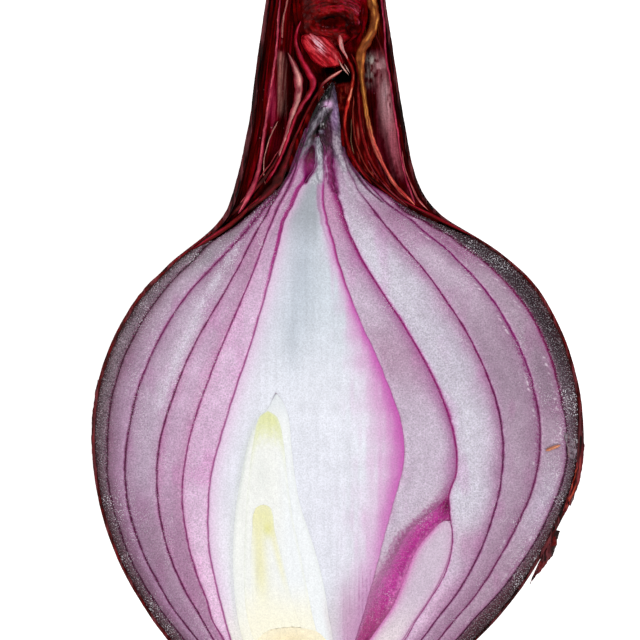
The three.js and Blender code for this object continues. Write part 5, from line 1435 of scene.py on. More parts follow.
s6_in = (lambda v: np.minimum(wedge(SHEATH_L, SHEATH_R, 394, -1)(v), np.where(np.asarray(v) > 627, PLATE_L(v) - 0.3, 1e9)),
         lambda v: np.maximum(wedge(SHEATH_R, SHEATH_L, 394, 1)(v), np.where(np.asarray(v) > 627, PLATE_R(v) + 0.3, -1e9)))
shell("scale_6_flesh", (L5, R5), s6_in, (137, 684), (137, 684), 112, 26, heart_z, heart_tint, HEART_MAT, "heart_flesh",
      ("scale_6",), step=1.6, under_n=44, gap=0.07,
      under_c=lambda t, v, z: mix(np.broadcast_to(rgb(168, 96, 146), np.broadcast(t, v).shape + (3,)), rgb(160, 158, 168), smooth(172, 150, v) + 0 * t))


# ---- young shoot, bulblet, plate ---------------------------------------------------------
def shoot_z(L, R, seed):
    def z(side, u, v, do, di):
        return 0.04 + relief(do, 0.03, 0.9) + relief(di, 0.02, 0.9) + 0.05 * fbm((u - 262) / 3.0, v / 30.0, seed, 3) + 0.03 * noise(u / 1.3, v / 1.6, seed + 3)
    return z


def at_tip(f, tip, v0, f2=None):
    def g(v):
        v = np.asarray(v, float)
        return np.where(v < v0, np.interp(v, tip[0], tip[1]), f(v))
    return g


leaf_mid = float((LEAF_L(412) + LEAF_R(412)) / 2)
core_mid = float((CORE_L(506) + CORE_R(506)) / 2)
plate_in_L = lambda f, v0=627: (lambda v: np.minimum(f(v), np.where(np.asarray(v) > v0, PLATE_L(v) - 0.3, 1e9)))
plate_in_R = lambda f, v0=627: (lambda v: np.maximum(f(v), np.where(np.asarray(v) > v0, PLATE_R(v) + 0.3, -1e9)))
shell("shoot_sheath_flesh", (SHEATH_L, SHEATH_R), (plate_in_L(at_tip(LEAF_L, ([394, 411], [276.5, leaf_mid]), 411)), plate_in_R(at_tip(LEAF_R, ([394, 411], [276.5, leaf_mid]), 411))),
      (394.1, 652), (394.1, 652), 34, 16, shoot_z(0, 0, 451), lambda side, u, v, do, di: shoot_colour("sheath", u, v), SHOOT_MAT,
      "shoot", ("shoot_sheath",), step=1.3, under_n=26, gap=0.03)
shell("shoot_leaf_outer_flesh", (LEAF_L, LEAF_R), (plate_in_L(at_tip(CORE_L, ([411, 432, 505], [268, 268, core_mid]), 505)), plate_in_R(at_tip(CORE_R, ([411, 432, 505], [268, 268, core_mid]), 505))),
      (411.1, 646), (411.1, 646), 34, 14, shoot_z(0, 0, 455), lambda side, u, v, do, di: shoot_colour("leaf", u, v), SHOOT_MAT,
      "shoot", ("shoot_leaf_outer",), step=1.2, under_n=24, gap=0.03)
def under_plate(u, v):
    return -0.3 * smooth(-0.5, 0.8, np.minimum(u - PLATE_L(v), PLATE_R(v) - u)) * (np.asarray(v) > 627)


plan("shoot_leaf_inner_flesh", CORE_L, CORE_R, np.arange(505, 638, 1.1), 42,
     lambda u, v: under_plate(u, v) + 0.05 + 0.06 * fbm((u - 262) / 2.6, v / 26.0, 459, 3) + 0.03 * noise(u / 1.3, v / 1.3, 460) - 0.06 * bump(u, v, 256, 575, 3, 24),
     lambda u, v: shoot_colour("core", u, v), SHOOT_MAT, ("shoot_leaf_inner",), gap=0.03)
def bud_right(v):
    """The bulblet lies against the next scale out where it comes close to it."""
    return np.where(BUD_R(v) > R4(v) - 3.6, R4(v) - 0.06, BUD_R(v))


plan("bulblet", lambda v: BUD_L(v) - 0.5, bud_right, np.arange(521, 668, 1.3), 44,
     lambda u, v: 0.02 + relief(u - BUD_L(v) + 0.5, 0.10, 1.4) + relief(BUD_R(v) - u, 0.06, 0.9) + 0.05 * fbm(u / 7.0, v / 12.0, 461, 3) + 0.03 * noise(u / 2.0, v / 2.0, 463),
     bud_colour, BUD_MAT, ("side_bud",), gap=0.05, f=0.9)


def plate_under(t, v, z):
    n = fbm(t * 6.0, v / 5.0, 471, 3)
    c = mix(np.broadcast_to(rgb(150, 112, 78), n.shape + (3,)), rgb(104, 70, 48), smooth(-0.3, 0.5, n))
    return c


plan("base_plate", PLATE_L, PLATE_R, np.concatenate([np.arange(627.4, 726, 1.1), [728.0, 731.0, 734.0]]), 48,
     lambda u, v: 0.03 + 0.06 * fbm(u / 5.0, v / 5.0, 473, 3) + 0.04 * noise(u / 1.6, v / 1.6, 475) - 0.5 * smooth(722, 736, v),
     plate_colour, PLATE_MAT, ("basal_plate",), gap=-0.6, under_c=plate_under)

rng = np.random.default_rng(77)
pts, fcs, cols_ = [], [], []
base_v = 731.0
for i in range(64):
    fu = rng.uniform(0.04, 0.96)
    left, right = float(PLATE_L(base_v)), float(PLATE_R(base_v))
    half = (right - left) / 2
    x0 = left + (right - left) * fu
    deep = 0.96 * half * math.sqrt(max(1 - ((x0 - (left + right) / 2) / half) ** 2, 0.02)) * UNIT
    z0 = -rng.uniform(0.12, 0.96) * deep
    start = np.array([(x0 - U0) * UNIT + CX, (V0 - base_v) * UNIT + CY + 0.9, TOP + z0])
    size = rng.uniform(1.6, 4.6)
    side_x, side_z = rng.normal(0, 0.42), rng.normal(-0.22, 0.34)
    curl = rng.normal(0, 1.0, 2)
    n = 14
    t = np.linspace(0, 1, n)
    x = start[0] + size * (side_x * t + 0.30 * curl[0] * np.sin(t * 3.4) * t) + 0.10 * rng.normal(0, 1, n).cumsum() * t
    y = start[1] - 0.9 - size * t * (1 - 0.35 * t * abs(curl[1])) + 0.8 * (1 - t)
    z = np.minimum(start[2] + size * (side_z * t + 0.28 * curl[1] * t * t), TOP - 0.25)
    pp, ff = tube(np.stack([x, y, z], 1) * 1e-3, np.interp(t, [0, 1], [rng.uniform(0.22, 0.36), 0.07]) * 1e-3)
    off = sum(len(q) for q in pts)
    fcs += [[a + off for a in f] for f in ff]
    pts.append(pp)
    shade = rng.uniform(0.75, 1.2)
    cc = mix(np.broadcast_to(rgb(176, 140, 98), (n, 3)), rgb(118, 84, 56), np.clip(t + rng.uniform(-0.2, 0.3), 0, 1)) * shade
    cols_.append(np.repeat(cc, 8, 0))
build("dry_roots", np.concatenate(pts), fcs, np.concatenate(cols_), ROOT_MAT)


# ---- neck --------------------------------------------------------------------------------
NECK_ROWS = np.concatenate([np.arange(-74, -6, 2.6), np.arange(-6, 227, 0.85)])


def sheath_rim(side, u, v, do, di):
    """Cut edge of the outermost dried leaf base: thin layers pressed together."""
    n = noise(do / 1.5, v / 18.0, 501)
    z = 0.16 * n - 0.10 + 0.05 * noise(u / 2.0, v / 2.0, 503)
    z = z + 0.22 * streak(u, v, LINE_A, 1.6) + 0.20 * streak(u, v, LINE_M, 1.4)
    z = z - 0.35 * smooth(2.2, 0.0, di)
    return np.minimum(z - 0.15 * smooth(180, 205, v), 0.12)


shell("neck_outer", (rim_in_L, rim_in_R), (N3_L, N3_R), (-73, 222), (-73, 222), 34, 30, sheath_rim,
      lambda side, u, v, do, di: neck_colour(u, v), SHEATH_MAT, "dry_sheath", ("neck_sheath_outer",), rows=(NECK_ROWS[NECK_ROWS <= 222] + 74) / 296.0,
      under_n=30, gap=0.12, frill=6.0, seed=511, under_c=tunic_colour, inner_c=lambda u, v, z: neck_colour(u, v) * 0.8)


def middle_z(u, v):
    """Trough of the second leaf base. It hugs whatever lies in it."""
    a, b = N3_L(v), N3_R(v)
    w = np.maximum((b - a) / 2, 1)
    x = np.clip((u - (a + b) / 2) / w, -1, 1)
    z = -0.15 - 2.3 * (1 - np.abs(x) ** 5)
    z = z + 0.35 * noise(x * 16.0, v / 36.0, 521) + 0.14 * noise(x * 42.0, v / 20.0, 522)
    # the leaf stands up again as folds on the left
    z = z + 1.5 * streak(u, v, [(40, 281), (60, 282), (90, 282), (120, 277)], 6.0)
    z = z + 1.1 * bump(u, v, 271, 104, 5, 34)
    z = z + 0.9 * bump(u, v, 387, 112, 5, 36, -0.09) + 0.9 * bump(u, v, 371, 62, 6, 16)
    z = z + 0.8 * bump(u, v, 394, 152, 8, 30, -0.1)
    inner = depth(N5_L, N5_R, u, v) * (v < 196)
    z = np.minimum(z, -np.where(inner > 0.05, inner + 0.3, 0.0))
    z = np.minimum(z, -np.where(flesh_depth(u, v) > 0.05, flesh_depth(u, v) + 0.3, 0.0))
    return np.minimum(z, -0.12)


def uniform_knots(count):
    return lambda v, a, b: a + (b - a) * np.linspace(0, 1, count)[None, :]


plan("neck_middle", N3_L, N3_R, NECK_ROWS[NECK_ROWS < 222], 168, middle_z, neck_colour, SHEATH_MAT,
     ("neck_sheath_middle",), gap=0.3, under_n=30, under_extra=0.35, knots=uniform_knots(168))


def inner_z(u, v):
    a, b = N5_L(v), N5_R(v)
    w = np.maximum((b - a) / 2, 1)
    x = np.clip((u - (a + b) / 2) / w, -1, 1)
    z = -0.25 - 1.5 * (1 - np.abs(x) ** 6) * smooth(110, 70, v) - 0.6 * (1 - np.abs(x) ** 6) * smooth(70, 110, v) - 1.6 * bump(u, v, 322, 77, 10, 6)
    z = z + 0.30 * noise(x * 9.0, v / 24.0, 531)
    z = z - 1.2 * bump(u, v, 333, 20, 12, 5) - 1.4 * bump(u, v, 352, 29, 4, 5)
    hood = depth(N6_L, N6_R, u, v) * (v > 66)
    z = np.minimum(z, -np.where(hood > 0.05, hood + 0.25, 0.0))
    z = np.minimum(z, -np.where(flesh_depth(u, v) > 0.05, flesh_depth(u, v) + 0.3, 0.0))
    return np.minimum(z, -0.15)


def inner_tint(u, v):
    c = heart_colour(u, v)
    x = np.minimum(u - N5_L(v), N5_R(v) - u)
    return mix(c, neck_colour(u, v), smooth(5, 1, x) * 0.7 * smooth(20, 60, v))


plan("neck_inner", N5_L, N5_R, NECK_ROWS[(NECK_ROWS < 204)], 110, inner_z, inner_tint, SHEATH_MAT,
     ("neck_sheath_inner",), gap=0.3, under_n=26, knots=uniform_knots(110))


def hood_z(u, v):
    a, b = N6_L(v), N6_R(v)
    w = np.maximum((b - a) / 2, 1)
    x = np.clip((u - (a + b) / 2) / w, -1, 1)
    z = -0.2 - 0.45 * (1 - np.abs(x) ** 6) - 0.8 * bump(u, v, 330, 78, 12, 6) + 0.14 * noise(x * 8.0, v / 14.0, 541)
    return np.minimum(z, -np.where(flesh_depth(u, v) > 0.05, flesh_depth(u, v) + 0.2, 0.0) - 0.15)


def hood_tint(u, v):
    n = noise(u / 2.2, v / 9.0, 543)
    m = fbm(u / 3.0, v / 3.0, 545, 2)
    c = mix(np.broadcast_to(rgb(56, 10, 14), u.shape + (3,)), rgb(126, 42, 40), smooth(-0.3, 0.6, n + 0.5 * m))
    # painted shade: black in the hollow at the top of the hood, over the cone's tip
    c = mix(c, rgb(14, 8, 10), 0.95 * smooth(88, 80, v + 0.5 * np.maximum(338 - u, 0)))
    c = mix(c, rgb(92, 40, 32), 0.6 * smooth(338, 342, u) * smooth(84, 92, v) * smooth(120, 104, v) * smooth(-0.5, 0.3, m))
    c = mix(c, rgb(120, 42, 40), 0.8 * bump(u, v, 343, 84.5, 6, 1.6, -0.15))
    c = mix(c, rgb(126, 58, 44), 0.6 * bump(u, v, 343, 98, 3.5, 9) * smooth(-0.4, 0.3, m))
    c = mix(c, rgb(120, 24, 28), 0.7 * smooth(104, 128, v) * smooth(-0.2, 0.4, n))
    # painted white glints near the cone's tip
    return mix(c, rgb(190, 190, 190), 0.8 * smooth(0.70, 0.82, noise(u / 1.1, v / 1.1, 547)) * smooth(104, 96, v) * smooth(340, 332, u))


plan("neck_hood_leaf", N6_L, N6_R, np.arange(68, 172, 0.9), 70, hood_z, hood_tint, SHEATH_MAT, ("neck_hood",),
     gap=0.3, under_n=22, knots=uniform_knots(70))


# crumpled crimson leaf and the folded bright one above the cone
def crumple_z(u, v):
    du, dv = (u - 333) / 1.4, v - 22
    r, th = np.sqrt(du * du + dv * dv), np.arctan2(du, -dv)
    z = 0.60 * fbm(u / 9.0, v / 7.0, 551, 3) + 0.22 * noise(r / 2.4, th * 2.5, 553) + 0.10 * noise(r / 0.9, th * 6.0, 555)
    z = z - 2.6 * bump(u, v, 333, 20.5, 13, 5.5) - 2.6 * bump(u, v, 352, 29.5, 4.5, 6) + 0.7 * bump(u, v, 330, 31, 18, 4)
    z = z + 0.4 * bump(u, v, 345, 8, 22, 5)
    edge = np.minimum(u - crest_L(v), crest_R(v) - u)
    return np.minimum(-1.05 + z - 1.0 * smooth(7, 0, edge), 0.1)


crest_L = curve([(-68, 306), (-40, 299), (0, 296), (20, 297.5), (33, 300), (46, 309)])
crest_R = curve([(-68, 350), (-40, 358), (0, 364), (20, 363), (33, 360), (40, 352), (46, 344)])


def crest_tint(u, v):
    z = crumple_z(u, v) + 0.9
    c = crumple_colour(u, v, z)
    c = mix(c, rgb(60, 0, 8), 0.7 * bump(u, v, 308, 8, 10, 12, 0.2))
    # painted shade: the two hollows are painted near black
    hole_shade = bump(u, v, 333, 19.5, 12, 4.8) + bump(u, v, 351.5, 28.5, 4.5, 5)
    c = mix(c, rgb(26, 0, 4), np.clip(1.9 * hole_shade, 0, 0.97))
    c = mix(c, rgb(134, 18, 34), 0.6 * bump(u, v, 326, 31, 13, 3.0))
    # painted pale sparkle highlights on the lip and the folds
    c = mix(c, rgb(226, 170, 178), 0.85 * smooth(0.66, 0.82, noise(u / 1.1, v / 1.1, 561)) * np.clip(bump(u, v, 325, 27, 9, 4) + bump(u, v, 350, 26, 4, 6) + bump(u, v, 361, 14, 5, 6), 0, 1))
    return mix(c, rgb(110, 10, 26), 0.6 * smooth(30, 42, v))


plan("neck_crumpled", crest_L, crest_R, np.concatenate([np.arange(-66, -6, 1.8), np.arange(-6, 46, 0.7)]), 104, crumple_z, crest_tint, LEAF_MAT,
     ("neck_leaf_crumpled",), gap=0.0, under_n=20, f=0.55, under_extra=1.0, knots=uniform_knots(104))

fold_L = curve([(33, 309), (35, 303), (39, 301), (46, 303), (54, 308), (62, 314), (68, 324)])
fold_R = curve([(33, 313), (36, 324), (42, 332), (50, 338), (58, 342), (64, 342), (68, 332)])


def fold_z(u, v):
    a, b = fold_L(v), fold_R(v)
    x = np.clip((u - (a + b) / 2) / np.maximum((b - a) / 2, 0.6), -1, 1)
    crown = np.sqrt(np.maximum(1 - x * x, 0))
    along = (u - 300) * 0.72 + (v - 34) * 0.69
    across = (u - 300) * -0.69 + (v - 34) * 0.72
    return -1.1 + 1.25 * crown * np.sqrt(np.clip(np.minimum(v - 32, 69 - v) / 9, 0.05, 1)) + 0.16 * noise(across / 2.0, along / 14.0, 571) + 0.08 * noise(across / 0.8, along / 9.0, 573)


def fold_tint(u, v):
    along = (u - 300) * 0.72 + (v - 34) * 0.69
    across = (u - 300) * -0.69 + (v - 34) * 0.72
    warp = across + 1.2 * noise(along / 9.0, across / 6.0, 577)
    f = noise(warp / 2.2, along / 14.0, 571)
    g = noise(warp / 0.9, along / 7.0, 575)
    c = mix(np.broadcast_to(rgb(150, 22, 32), u.shape + (3,)), rgb(206, 50, 58), smooth(-0.4, 0.5, f + 0.3 * g))
    # painted highlight, pink to pinkish white, on the middle of the folded leaf
    c = mix(c, rgb(214, 112, 124), 0.6 * bump(u, v, 319, 46, 13, 6.5, 0.85) * smooth(-0.6, 0.4, g + 0.5 * f))
    c = mix(c, rgb(240, 188, 200), np.clip(1.3 * bump(u, v, 318.5, 45, 9.5, 4.2, 0.9), 0, 0.95) * smooth(-0.9, -0.1, g + 0.3 * f))
    c = mix(c, rgb(222, 130, 140), 0.75 * bump(u, v, 314, 37, 5, 2.2, 0.6))
    c = mix(c, rgb(226, 120, 124), 0.6 * bump(u, v, 336, 57, 2.2, 6, -0.4))
    c = mix(c, rgb(112, 8, 20), 0.6 * smooth(0.3, 0.8, -g))
    # painted shade where the leaf's sides turn down
    return mix(c, rgb(104, 8, 20), 0.75 * smooth(4.0, 0.0, np.minimum(u - fold_L(v), fold_R(v) - u)))


plan("neck_folded", fold_L, fold_R, np.arange(33.2, 68, 0.6), 60, fold_z, fold_tint, LEAF_MAT, ("neck_leaf_folded",),
     gap=0.0, under_n=18, f=0.5, under_extra=0.6, knots=uniform_knots(60))


# colour of a strand: its base colour, a painted highlight stripe (shine) at 'at' across it, and painted shade on its
# flanks (edge)
def duo(base, shine, edge, at=-0.3, wide=0.5):
    def c(v, across):
        n = noise(v / 9.0, across * 2.0, 591)
        out = mix(np.broadcast_to(base, v.shape + (3,)), shine, np.exp(-(((across - at) / wide) ** 2)) * smooth(-0.8, 0.4, n))
        return mix(out, edge, 0.8 * smooth(0.55, 1.0, np.abs(across)))
    return c


# bright edges of the dried leaves
strand("leaf_edge_a", LINE_B, [(-76, 2.5), (0, 2.6), (60, 3.2), (150, 3.6), (176, 4.6), (200, 5.5), (214, 3)],
       [(-76, -0.6), (150, -0.25), (196, -0.2), (214, -0.35)], 0.35, duo(rgb(150, 44, 66), rgb(206, 96, 108), rgb(96, 16, 30)), LEAF_MAT, 601)
strand("leaf_edge_b", LINE_C, [(-76, 1.8), (60, 1.8), (92, 1.2)], [(-76, -0.6), (92, -0.7)], 0.25,
       duo(rgb(164, 84, 84), rgb(196, 146, 130), rgb(100, 30, 36)), LEAF_MAT, 603)
strand("leaf_edge_c", LINE_C2, [(121, 1.4), (184, 1.2)], [(121, -0.5), (184, -0.5)], 0.25,
       duo(rgb(160, 96, 90), rgb(206, 160, 146), rgb(96, 30, 36)), LEAF_MAT, 605)
strand("leaf_fold_d", LINE_E, [(52, 2), (66, 6.5), (80, 8.6), (96, 8.4), (117, 6.5), (140, 5), (160, 3)], [(52, -1.0), (76, -0.35), (117, -0.45), (160, -0.7)], 0.6,
       duo(rgb(146, 60, 70), rgb(208, 148, 142), rgb(122, 28, 40), 0.25, 0.6), LEAF_MAT, 607, sides=18)
PATH_F = [(20, 301), (27, 298), (35, 296), (48, 296.8), (60, 301.4), (72, 308.2), (80, 312.6), (86, 313), (92, 310.2), (105.6, 301.4), (122, 293.4), (139, 287.6),
          (164, 277.5), (184, 265)]
strand("leaf_fold_e", PATH_F, [(20, 2), (36, 3.4), (60, 6.5), (76, 7.6), (90, 5.6), (120, 4.2), (184, 3.2)],
       [(20, -0.8), (60, -0.35), (90, -0.25), (184, -0.7)], 0.75, duo(rgb(132, 14, 36), rgb(190, 62, 86), rgb(74, 2, 14), 0.4, 0.35), LEAF_MAT, 609)
PATH_G = [(70, 342), (74, 336.5), (78, 330), (82, 325), (94, 317.3), (105.6, 310.4), (117, 304.4), (132, 297.6), (148, 290.4), (168, 281)]
def ridge(v, across):
    """Pale at its free end, dark red further down, with a painted highlight stripe along it and painted shade on its
    flanks.
    """
    n = noise(v / 6.0, across * 2.0, 653)
    pale = mix(np.broadcast_to(rgb(190, 84, 82), v.shape + (3,)), rgb(228, 160, 150), np.exp(-(((across + 0.2) / 0.5) ** 2)))
    dark = mix(np.broadcast_to(rgb(100, 14, 26), v.shape + (3,)), rgb(172, 60, 66), np.exp(-(((across + 0.15) / 0.35) ** 2)) * smooth(-0.5, 0.4, n))
    return mix(mix(pale, dark, smooth(76, 88, v)), rgb(60, 4, 12), 0.8 * smooth(0.55, 1.0, np.abs(across)))


strand("hood_edge_left", PATH_G, [(70, 4.4), (78, 3.2), (94, 2.6), (168, 2.4)], [(70, -0.1), (94, -0.15), (168, -0.4)], 0.45,
       ridge, LEAF_MAT, 611)
PATH_H = [(37, 337), (46, 340.6), (56, 346.3), (64, 350.3), (71, 352.6), (80, 353), (94, 350), (108.6, 346.5), (122, 345), (139, 346.5), (154, 351), (166, 357)]
# colour of a strand: dark red to orange, a painted highlight stripe, darker lower down, and painted shade on its flanks
def flame(v, across):
    n = noise(v / 7.0, across * 2.6, 643)
    c = mix(np.broadcast_to(rgb(136, 20, 24), v.shape + (3,)), rgb(204, 74, 54), smooth(-0.5, 0.6, n + 0.5 * across) * smooth(70, 92, v) + 0.25)
    c = mix(c, rgb(236, 150, 126), 0.8 * np.exp(-(((across - 0.25) / 0.3) ** 2)) * smooth(-0.1, 0.5, n))
    c = mix(c, rgb(112, 14, 18), 0.85 * smooth(112, 136, v + 6 * n))
    return mix(c, rgb(70, 4, 10), 0.9 * smooth(0.45, 0.9, np.abs(across)))


strand("hood_edge_right", PATH_H, [(37, 2.5), (60, 3.4), (80, 3.8), (108, 4.0), (139, 3.0), (166, 2)], [(37, -0.6), (80, -0.15), (122, -0.2), (166, -0.5)], 0.6,
       flame, LEAF_MAT, 613)
strand("hood_fibre", [(118, 351.4), (130, 351.2), (141, 351), (154, 354)], [(118, 1), (154, 1.4)], [(118, -0.4), (154, -0.6)], 0.25,
       duo(rgb(104, 74, 56), rgb(156, 122, 96), rgb(60, 24, 20)), LEAF_MAT, 615)
strand("leaf_fold_g", [(53, 351), (64, 356), (74, 358.6), (88, 358.4), (104, 358.8), (120, 360.2), (140, 364), (158, 370), (174, 379), (190, 391)],
       [(53, 2), (70, 3.4), (100, 4.4), (150, 4.2), (190, 3)], [(53, -0.6), (80, -0.7), (190, -0.6)], 0.55,
       duo(rgb(96, 14, 18), rgb(150, 44, 44), rgb(44, 2, 5), 0.2, 0.5), LEAF_MAT, 633)
strand("leaf_fold_i", [(112, 344.2), (124, 344.2), (136, 346.0), (148, 349.4), (160, 354.6), (172, 362), (184, 372)],
       [(112, 2.6), (130, 4.2), (160, 3.6), (184, 2.6)], [(112, -0.35), (184, -0.6)], 0.5,
       duo(rgb(104, 14, 22), rgb(144, 38, 42), rgb(50, 2, 6), 0.0, 0.4), LEAF_MAT, 635)
strand("leaf_fold_j", [(96, 353.6), (112, 352.8), (126, 353.4), (140, 355.6), (154, 360), (168, 367), (182, 377.5)],
       [(96, 2), (126, 3.0), (182, 2.4)], [(96, -0.7), (182, -0.7)], 0.4,
       duo(rgb(84, 10, 14), rgb(140, 60, 50), rgb(40, 2, 4), 0.3, 0.5), LEAF_MAT, 637)
strand("leaf_fold_k", [(124, 301), (134, 296.5), (146, 291.8), (158, 287.4), (170, 282.8), (180, 278.0), (188, 272.4), (196, 264), (204, 255), (214, 243)],
       [(124, 2), (150, 4.6), (168, 7.0), (180, 10.0), (188, 8.5), (206, 5.4), (214, 3)], [(124, -0.4), (170, -0.35), (214, -0.4)], 0.5,
       duo(rgb(70, 6, 16), rgb(122, 28, 42), rgb(34, 0, 5), 0.3, 0.4), LEAF_MAT, 645)
strand("leaf_rim_left", [(188, 270), (195, 263.5), (203, 254.5), (211, 245.5), (219, 237.2), (227, 227), (235, 215), (243, 202.5), (250, 191)],
       [(188, 3.0), (211, 4.4), (230, 5.0), (243, 4.4), (250, 2.8)], [(188, -0.5), (211, -0.3), (230, -0.12), (250, -0.1)], 0.4,
       duo(rgb(88, 6, 20), rgb(158, 30, 52), rgb(36, 0, 7), -0.25, 0.4), LEAF_MAT, 655)
strand("leaf_rim_right", [(196, 395), (203, 407.5), (210, 421), (217, 435), (224, 449), (231, 463), (237, 474.5)],
       [(196, 2.6), (214, 4.0), (226, 3.6), (237, 2.0)], [(196, -0.5), (217, -0.25), (237, -0.2)], 0.35,
       duo(rgb(92, 6, 22), rgb(150, 30, 50), rgb(36, 0, 6), 0.25, 0.45), LEAF_MAT, 657)
strand("leaf_fold_m", [(146, 283), (158, 277.2), (170, 270), (182, 261), (194, 250.5), (206, 240), (216, 231)],
       [(146, 2), (170, 4.4), (216, 4.6)], [(146, -0.7), (216, -0.55)], 0.5,
       duo(rgb(58, 4, 12), rgb(104, 20, 32), rgb(28, 0, 4), 0.2, 0.4), LEAF_MAT, 647)
strand("leaf_fold_n", [(148, 348.6), (158, 353.6), (168, 360.6), (178, 370), (188, 381.6), (198, 394.6), (208, 409)],
       [(148, 2), (170, 3.8), (208, 3.6)], [(148, -0.7), (208, -0.5)], 0.5,
       duo(rgb(64, 5, 12), rgb(112, 24, 32), rgb(30, 0, 4), -0.2, 0.4), LEAF_MAT, 649)
PATH_I = [(-74, 366), (-30, 369), (0, 371.4), (12, 374), (19, 374.6), (32, 371.6), (42.5, 365.6), (51, 361.2), (73, 361.4), (95, 364), (117, 367.2), (136, 371.4),
          (155.5, 378.8), (173, 387.6), (188, 397.8), (205, 415)]


# colour of a strand: brown above, red lower down, with painted shade on its flanks
def brown(v, across):
    n = noise(v / 12.0, across * 3.0, 621)
    c = mix(np.broadcast_to(rgb(126, 66, 36), v.shape + (3,)), rgb(200, 132, 66), smooth(-0.2, 0.7, n + 0.3 * across))
    low = smooth(108, 148, v)
    c = mix(c, mix(np.broadcast_to(rgb(170, 52, 52), c.shape), rgb(224, 112, 96), smooth(-0.5, 0.5, n)), low)
    return mix(c, rgb(84, 18, 18), 0.75 * smooth(0.6, 1.0, np.abs(across)))


strand("leaf_fold_f", PATH_I, [(-74, 9), (0, 10), (22, 9), (42, 11), (58, 9), (76, 6), (100, 5.2), (150, 5.2), (205, 4)],
       [(-74, -0.5), (42, -0.35), (100, -0.25), (205, -0.3)], 0.85, brown, LEAF_MAT, 617, sides=20)
strand("leaf_edge_g", LINE_K, [(-76, 2), (100, 2.4), (203, 2.6)], [(-76, -0.5), (100, -0.25), (203, -0.3)], 0.4,
       duo(rgb(140, 34, 58), rgb(196, 78, 104), rgb(84, 8, 22)), LEAF_MAT, 619)
strand("leaf_edge_h", [(150, 402), (170, 405.5), (186, 412), (200, 419), (210, 428)], [(150, 1.2), (210, 2.5)], [(150, -0.3), (210, -0.3)], 0.3,
       duo(rgb(150, 56, 62), rgb(206, 120, 116), rgb(84, 8, 22)), LEAF_MAT, 623)
strand("leaf_edge_i", [(32, 339.5), (38, 340.2), (44, 340.8), (50, 343), (56, 346.5), (62, 349)], [(32, 2), (40, 5), (46, 5.4), (54, 2.6), (62, 1.6)], [(32, -0.9), (42, -0.3), (62, -0.1)], 0.4,
       duo(rgb(188, 96, 96), rgb(238, 190, 184), rgb(130, 28, 36), 0.2, 0.6), LEAF_MAT, 625)
strand("leaf_edge_m", [(64, 344), (66.5, 346), (69, 347.4), (73, 350)], [(64, 1), (69, 1.6), (73, 1)], [(64, -0.05), (73, -0.15)], 0.25,
       duo(rgb(206, 140, 130), rgb(240, 206, 196), rgb(140, 60, 60)), LEAF_MAT, 639)
strand("leaf_edge_j", [(59, 338), (64, 341), (69, 344), (75, 349)], [(59, 1.5), (69, 2.2), (75, 1)], [(59, -0.2), (75, -0.3)], 0.3,
       duo(rgb(196, 120, 110), rgb(236, 196, 186), rgb(130, 50, 50)), LEAF_MAT, 627)
strand("leaf_edge_k", [(160, 368), (172, 374), (182, 382), (194, 394), (206, 408)], [(160, 1.5), (206, 2.0)], [(160, -0.5), (206, -0.4)], 0.3,
       duo(rgb(110, 26, 36), rgb(170, 76, 84), rgb(60, 6, 14)), LEAF_MAT, 629)
strand("leaf_edge_l", [(150, 279), (164, 270), (180, 258), (196, 246), (206, 238)], [(150, 1.4), (206, 2.0)], [(150, -0.5), (206, -0.4)], 0.3,
       duo(rgb(116, 28, 36), rgb(176, 82, 86), rgb(60, 6, 14)), LEAF_MAT, 631)


# ---- torn bits of tunic on the right -----------------------------------------------------
def flake(name, inner, outer_, z, seed, colour_a, colour_b, thick=0.10, sag=0.5, nodes=()):
    """Thin ragged sheet between an inner and an outer edge, each [(u, v)] from top to bottom."""
    n, m = 64, 16
    s = np.linspace(0, 1, n)
    ui = np.interp(s, np.linspace(0, 1, len(inner)), [p[0] for p in inner])
    vi = np.interp(s, np.linspace(0, 1, len(inner)), [p[1] for p in inner])
    uo = np.interp(s, np.linspace(0, 1, len(outer_)), [p[0] for p in outer_]) + 0.5 * noise(s * 30.0, 0.0, seed) + 0.4 * noise(s * 11.0, 0.0, seed + 1)
    vo = np.interp(s, np.linspace(0, 1, len(outer_)), [p[1] for p in outer_]) + 0.4 * noise(s * 24.0, 0.0, seed + 2)
    t = np.linspace(0, 1, m)[None, :]
    U = ui[:, None] * (1 - t) + uo[:, None] * t
    V = vi[:, None] * (1 - t) + vo[:, None] * t
    Z = z - sag * t**2 + 0.22 * noise(s[:, None] * 9, t * 2.0, seed + 3) + 0.12 * noise(s[:, None] * 26, t * 4.0, seed + 4)
    C = mix(np.broadcast_to(colour_a, U.shape + (3,)), colour_b, smooth(-0.1, 0.6, noise(s[:, None] * 20, t * 2.5, seed + 5)))
    C = mix(C, rgb(40, 4, 8), 0.6 * smooth(0.12, 0.0, t) + 0 * U)
    points, faces = ringed((U, V, Z), (U, V, Z - thick * (0.6 + 0.4 * np.sin(math.pi * t))))
    colours = np.concatenate([C.reshape(-1, 3), C[:, 1:-1].reshape(-1, 3)])
    lay = np.stack([U * UNIT, V * UNIT, Z], -1)
    lay = np.concatenate([lay.reshape(-1, 3), lay[:, 1:-1].reshape(-1, 3) + 50.0])
    return build(name, points, faces, colours, SKIN_MAT, nodes, lay=lay)


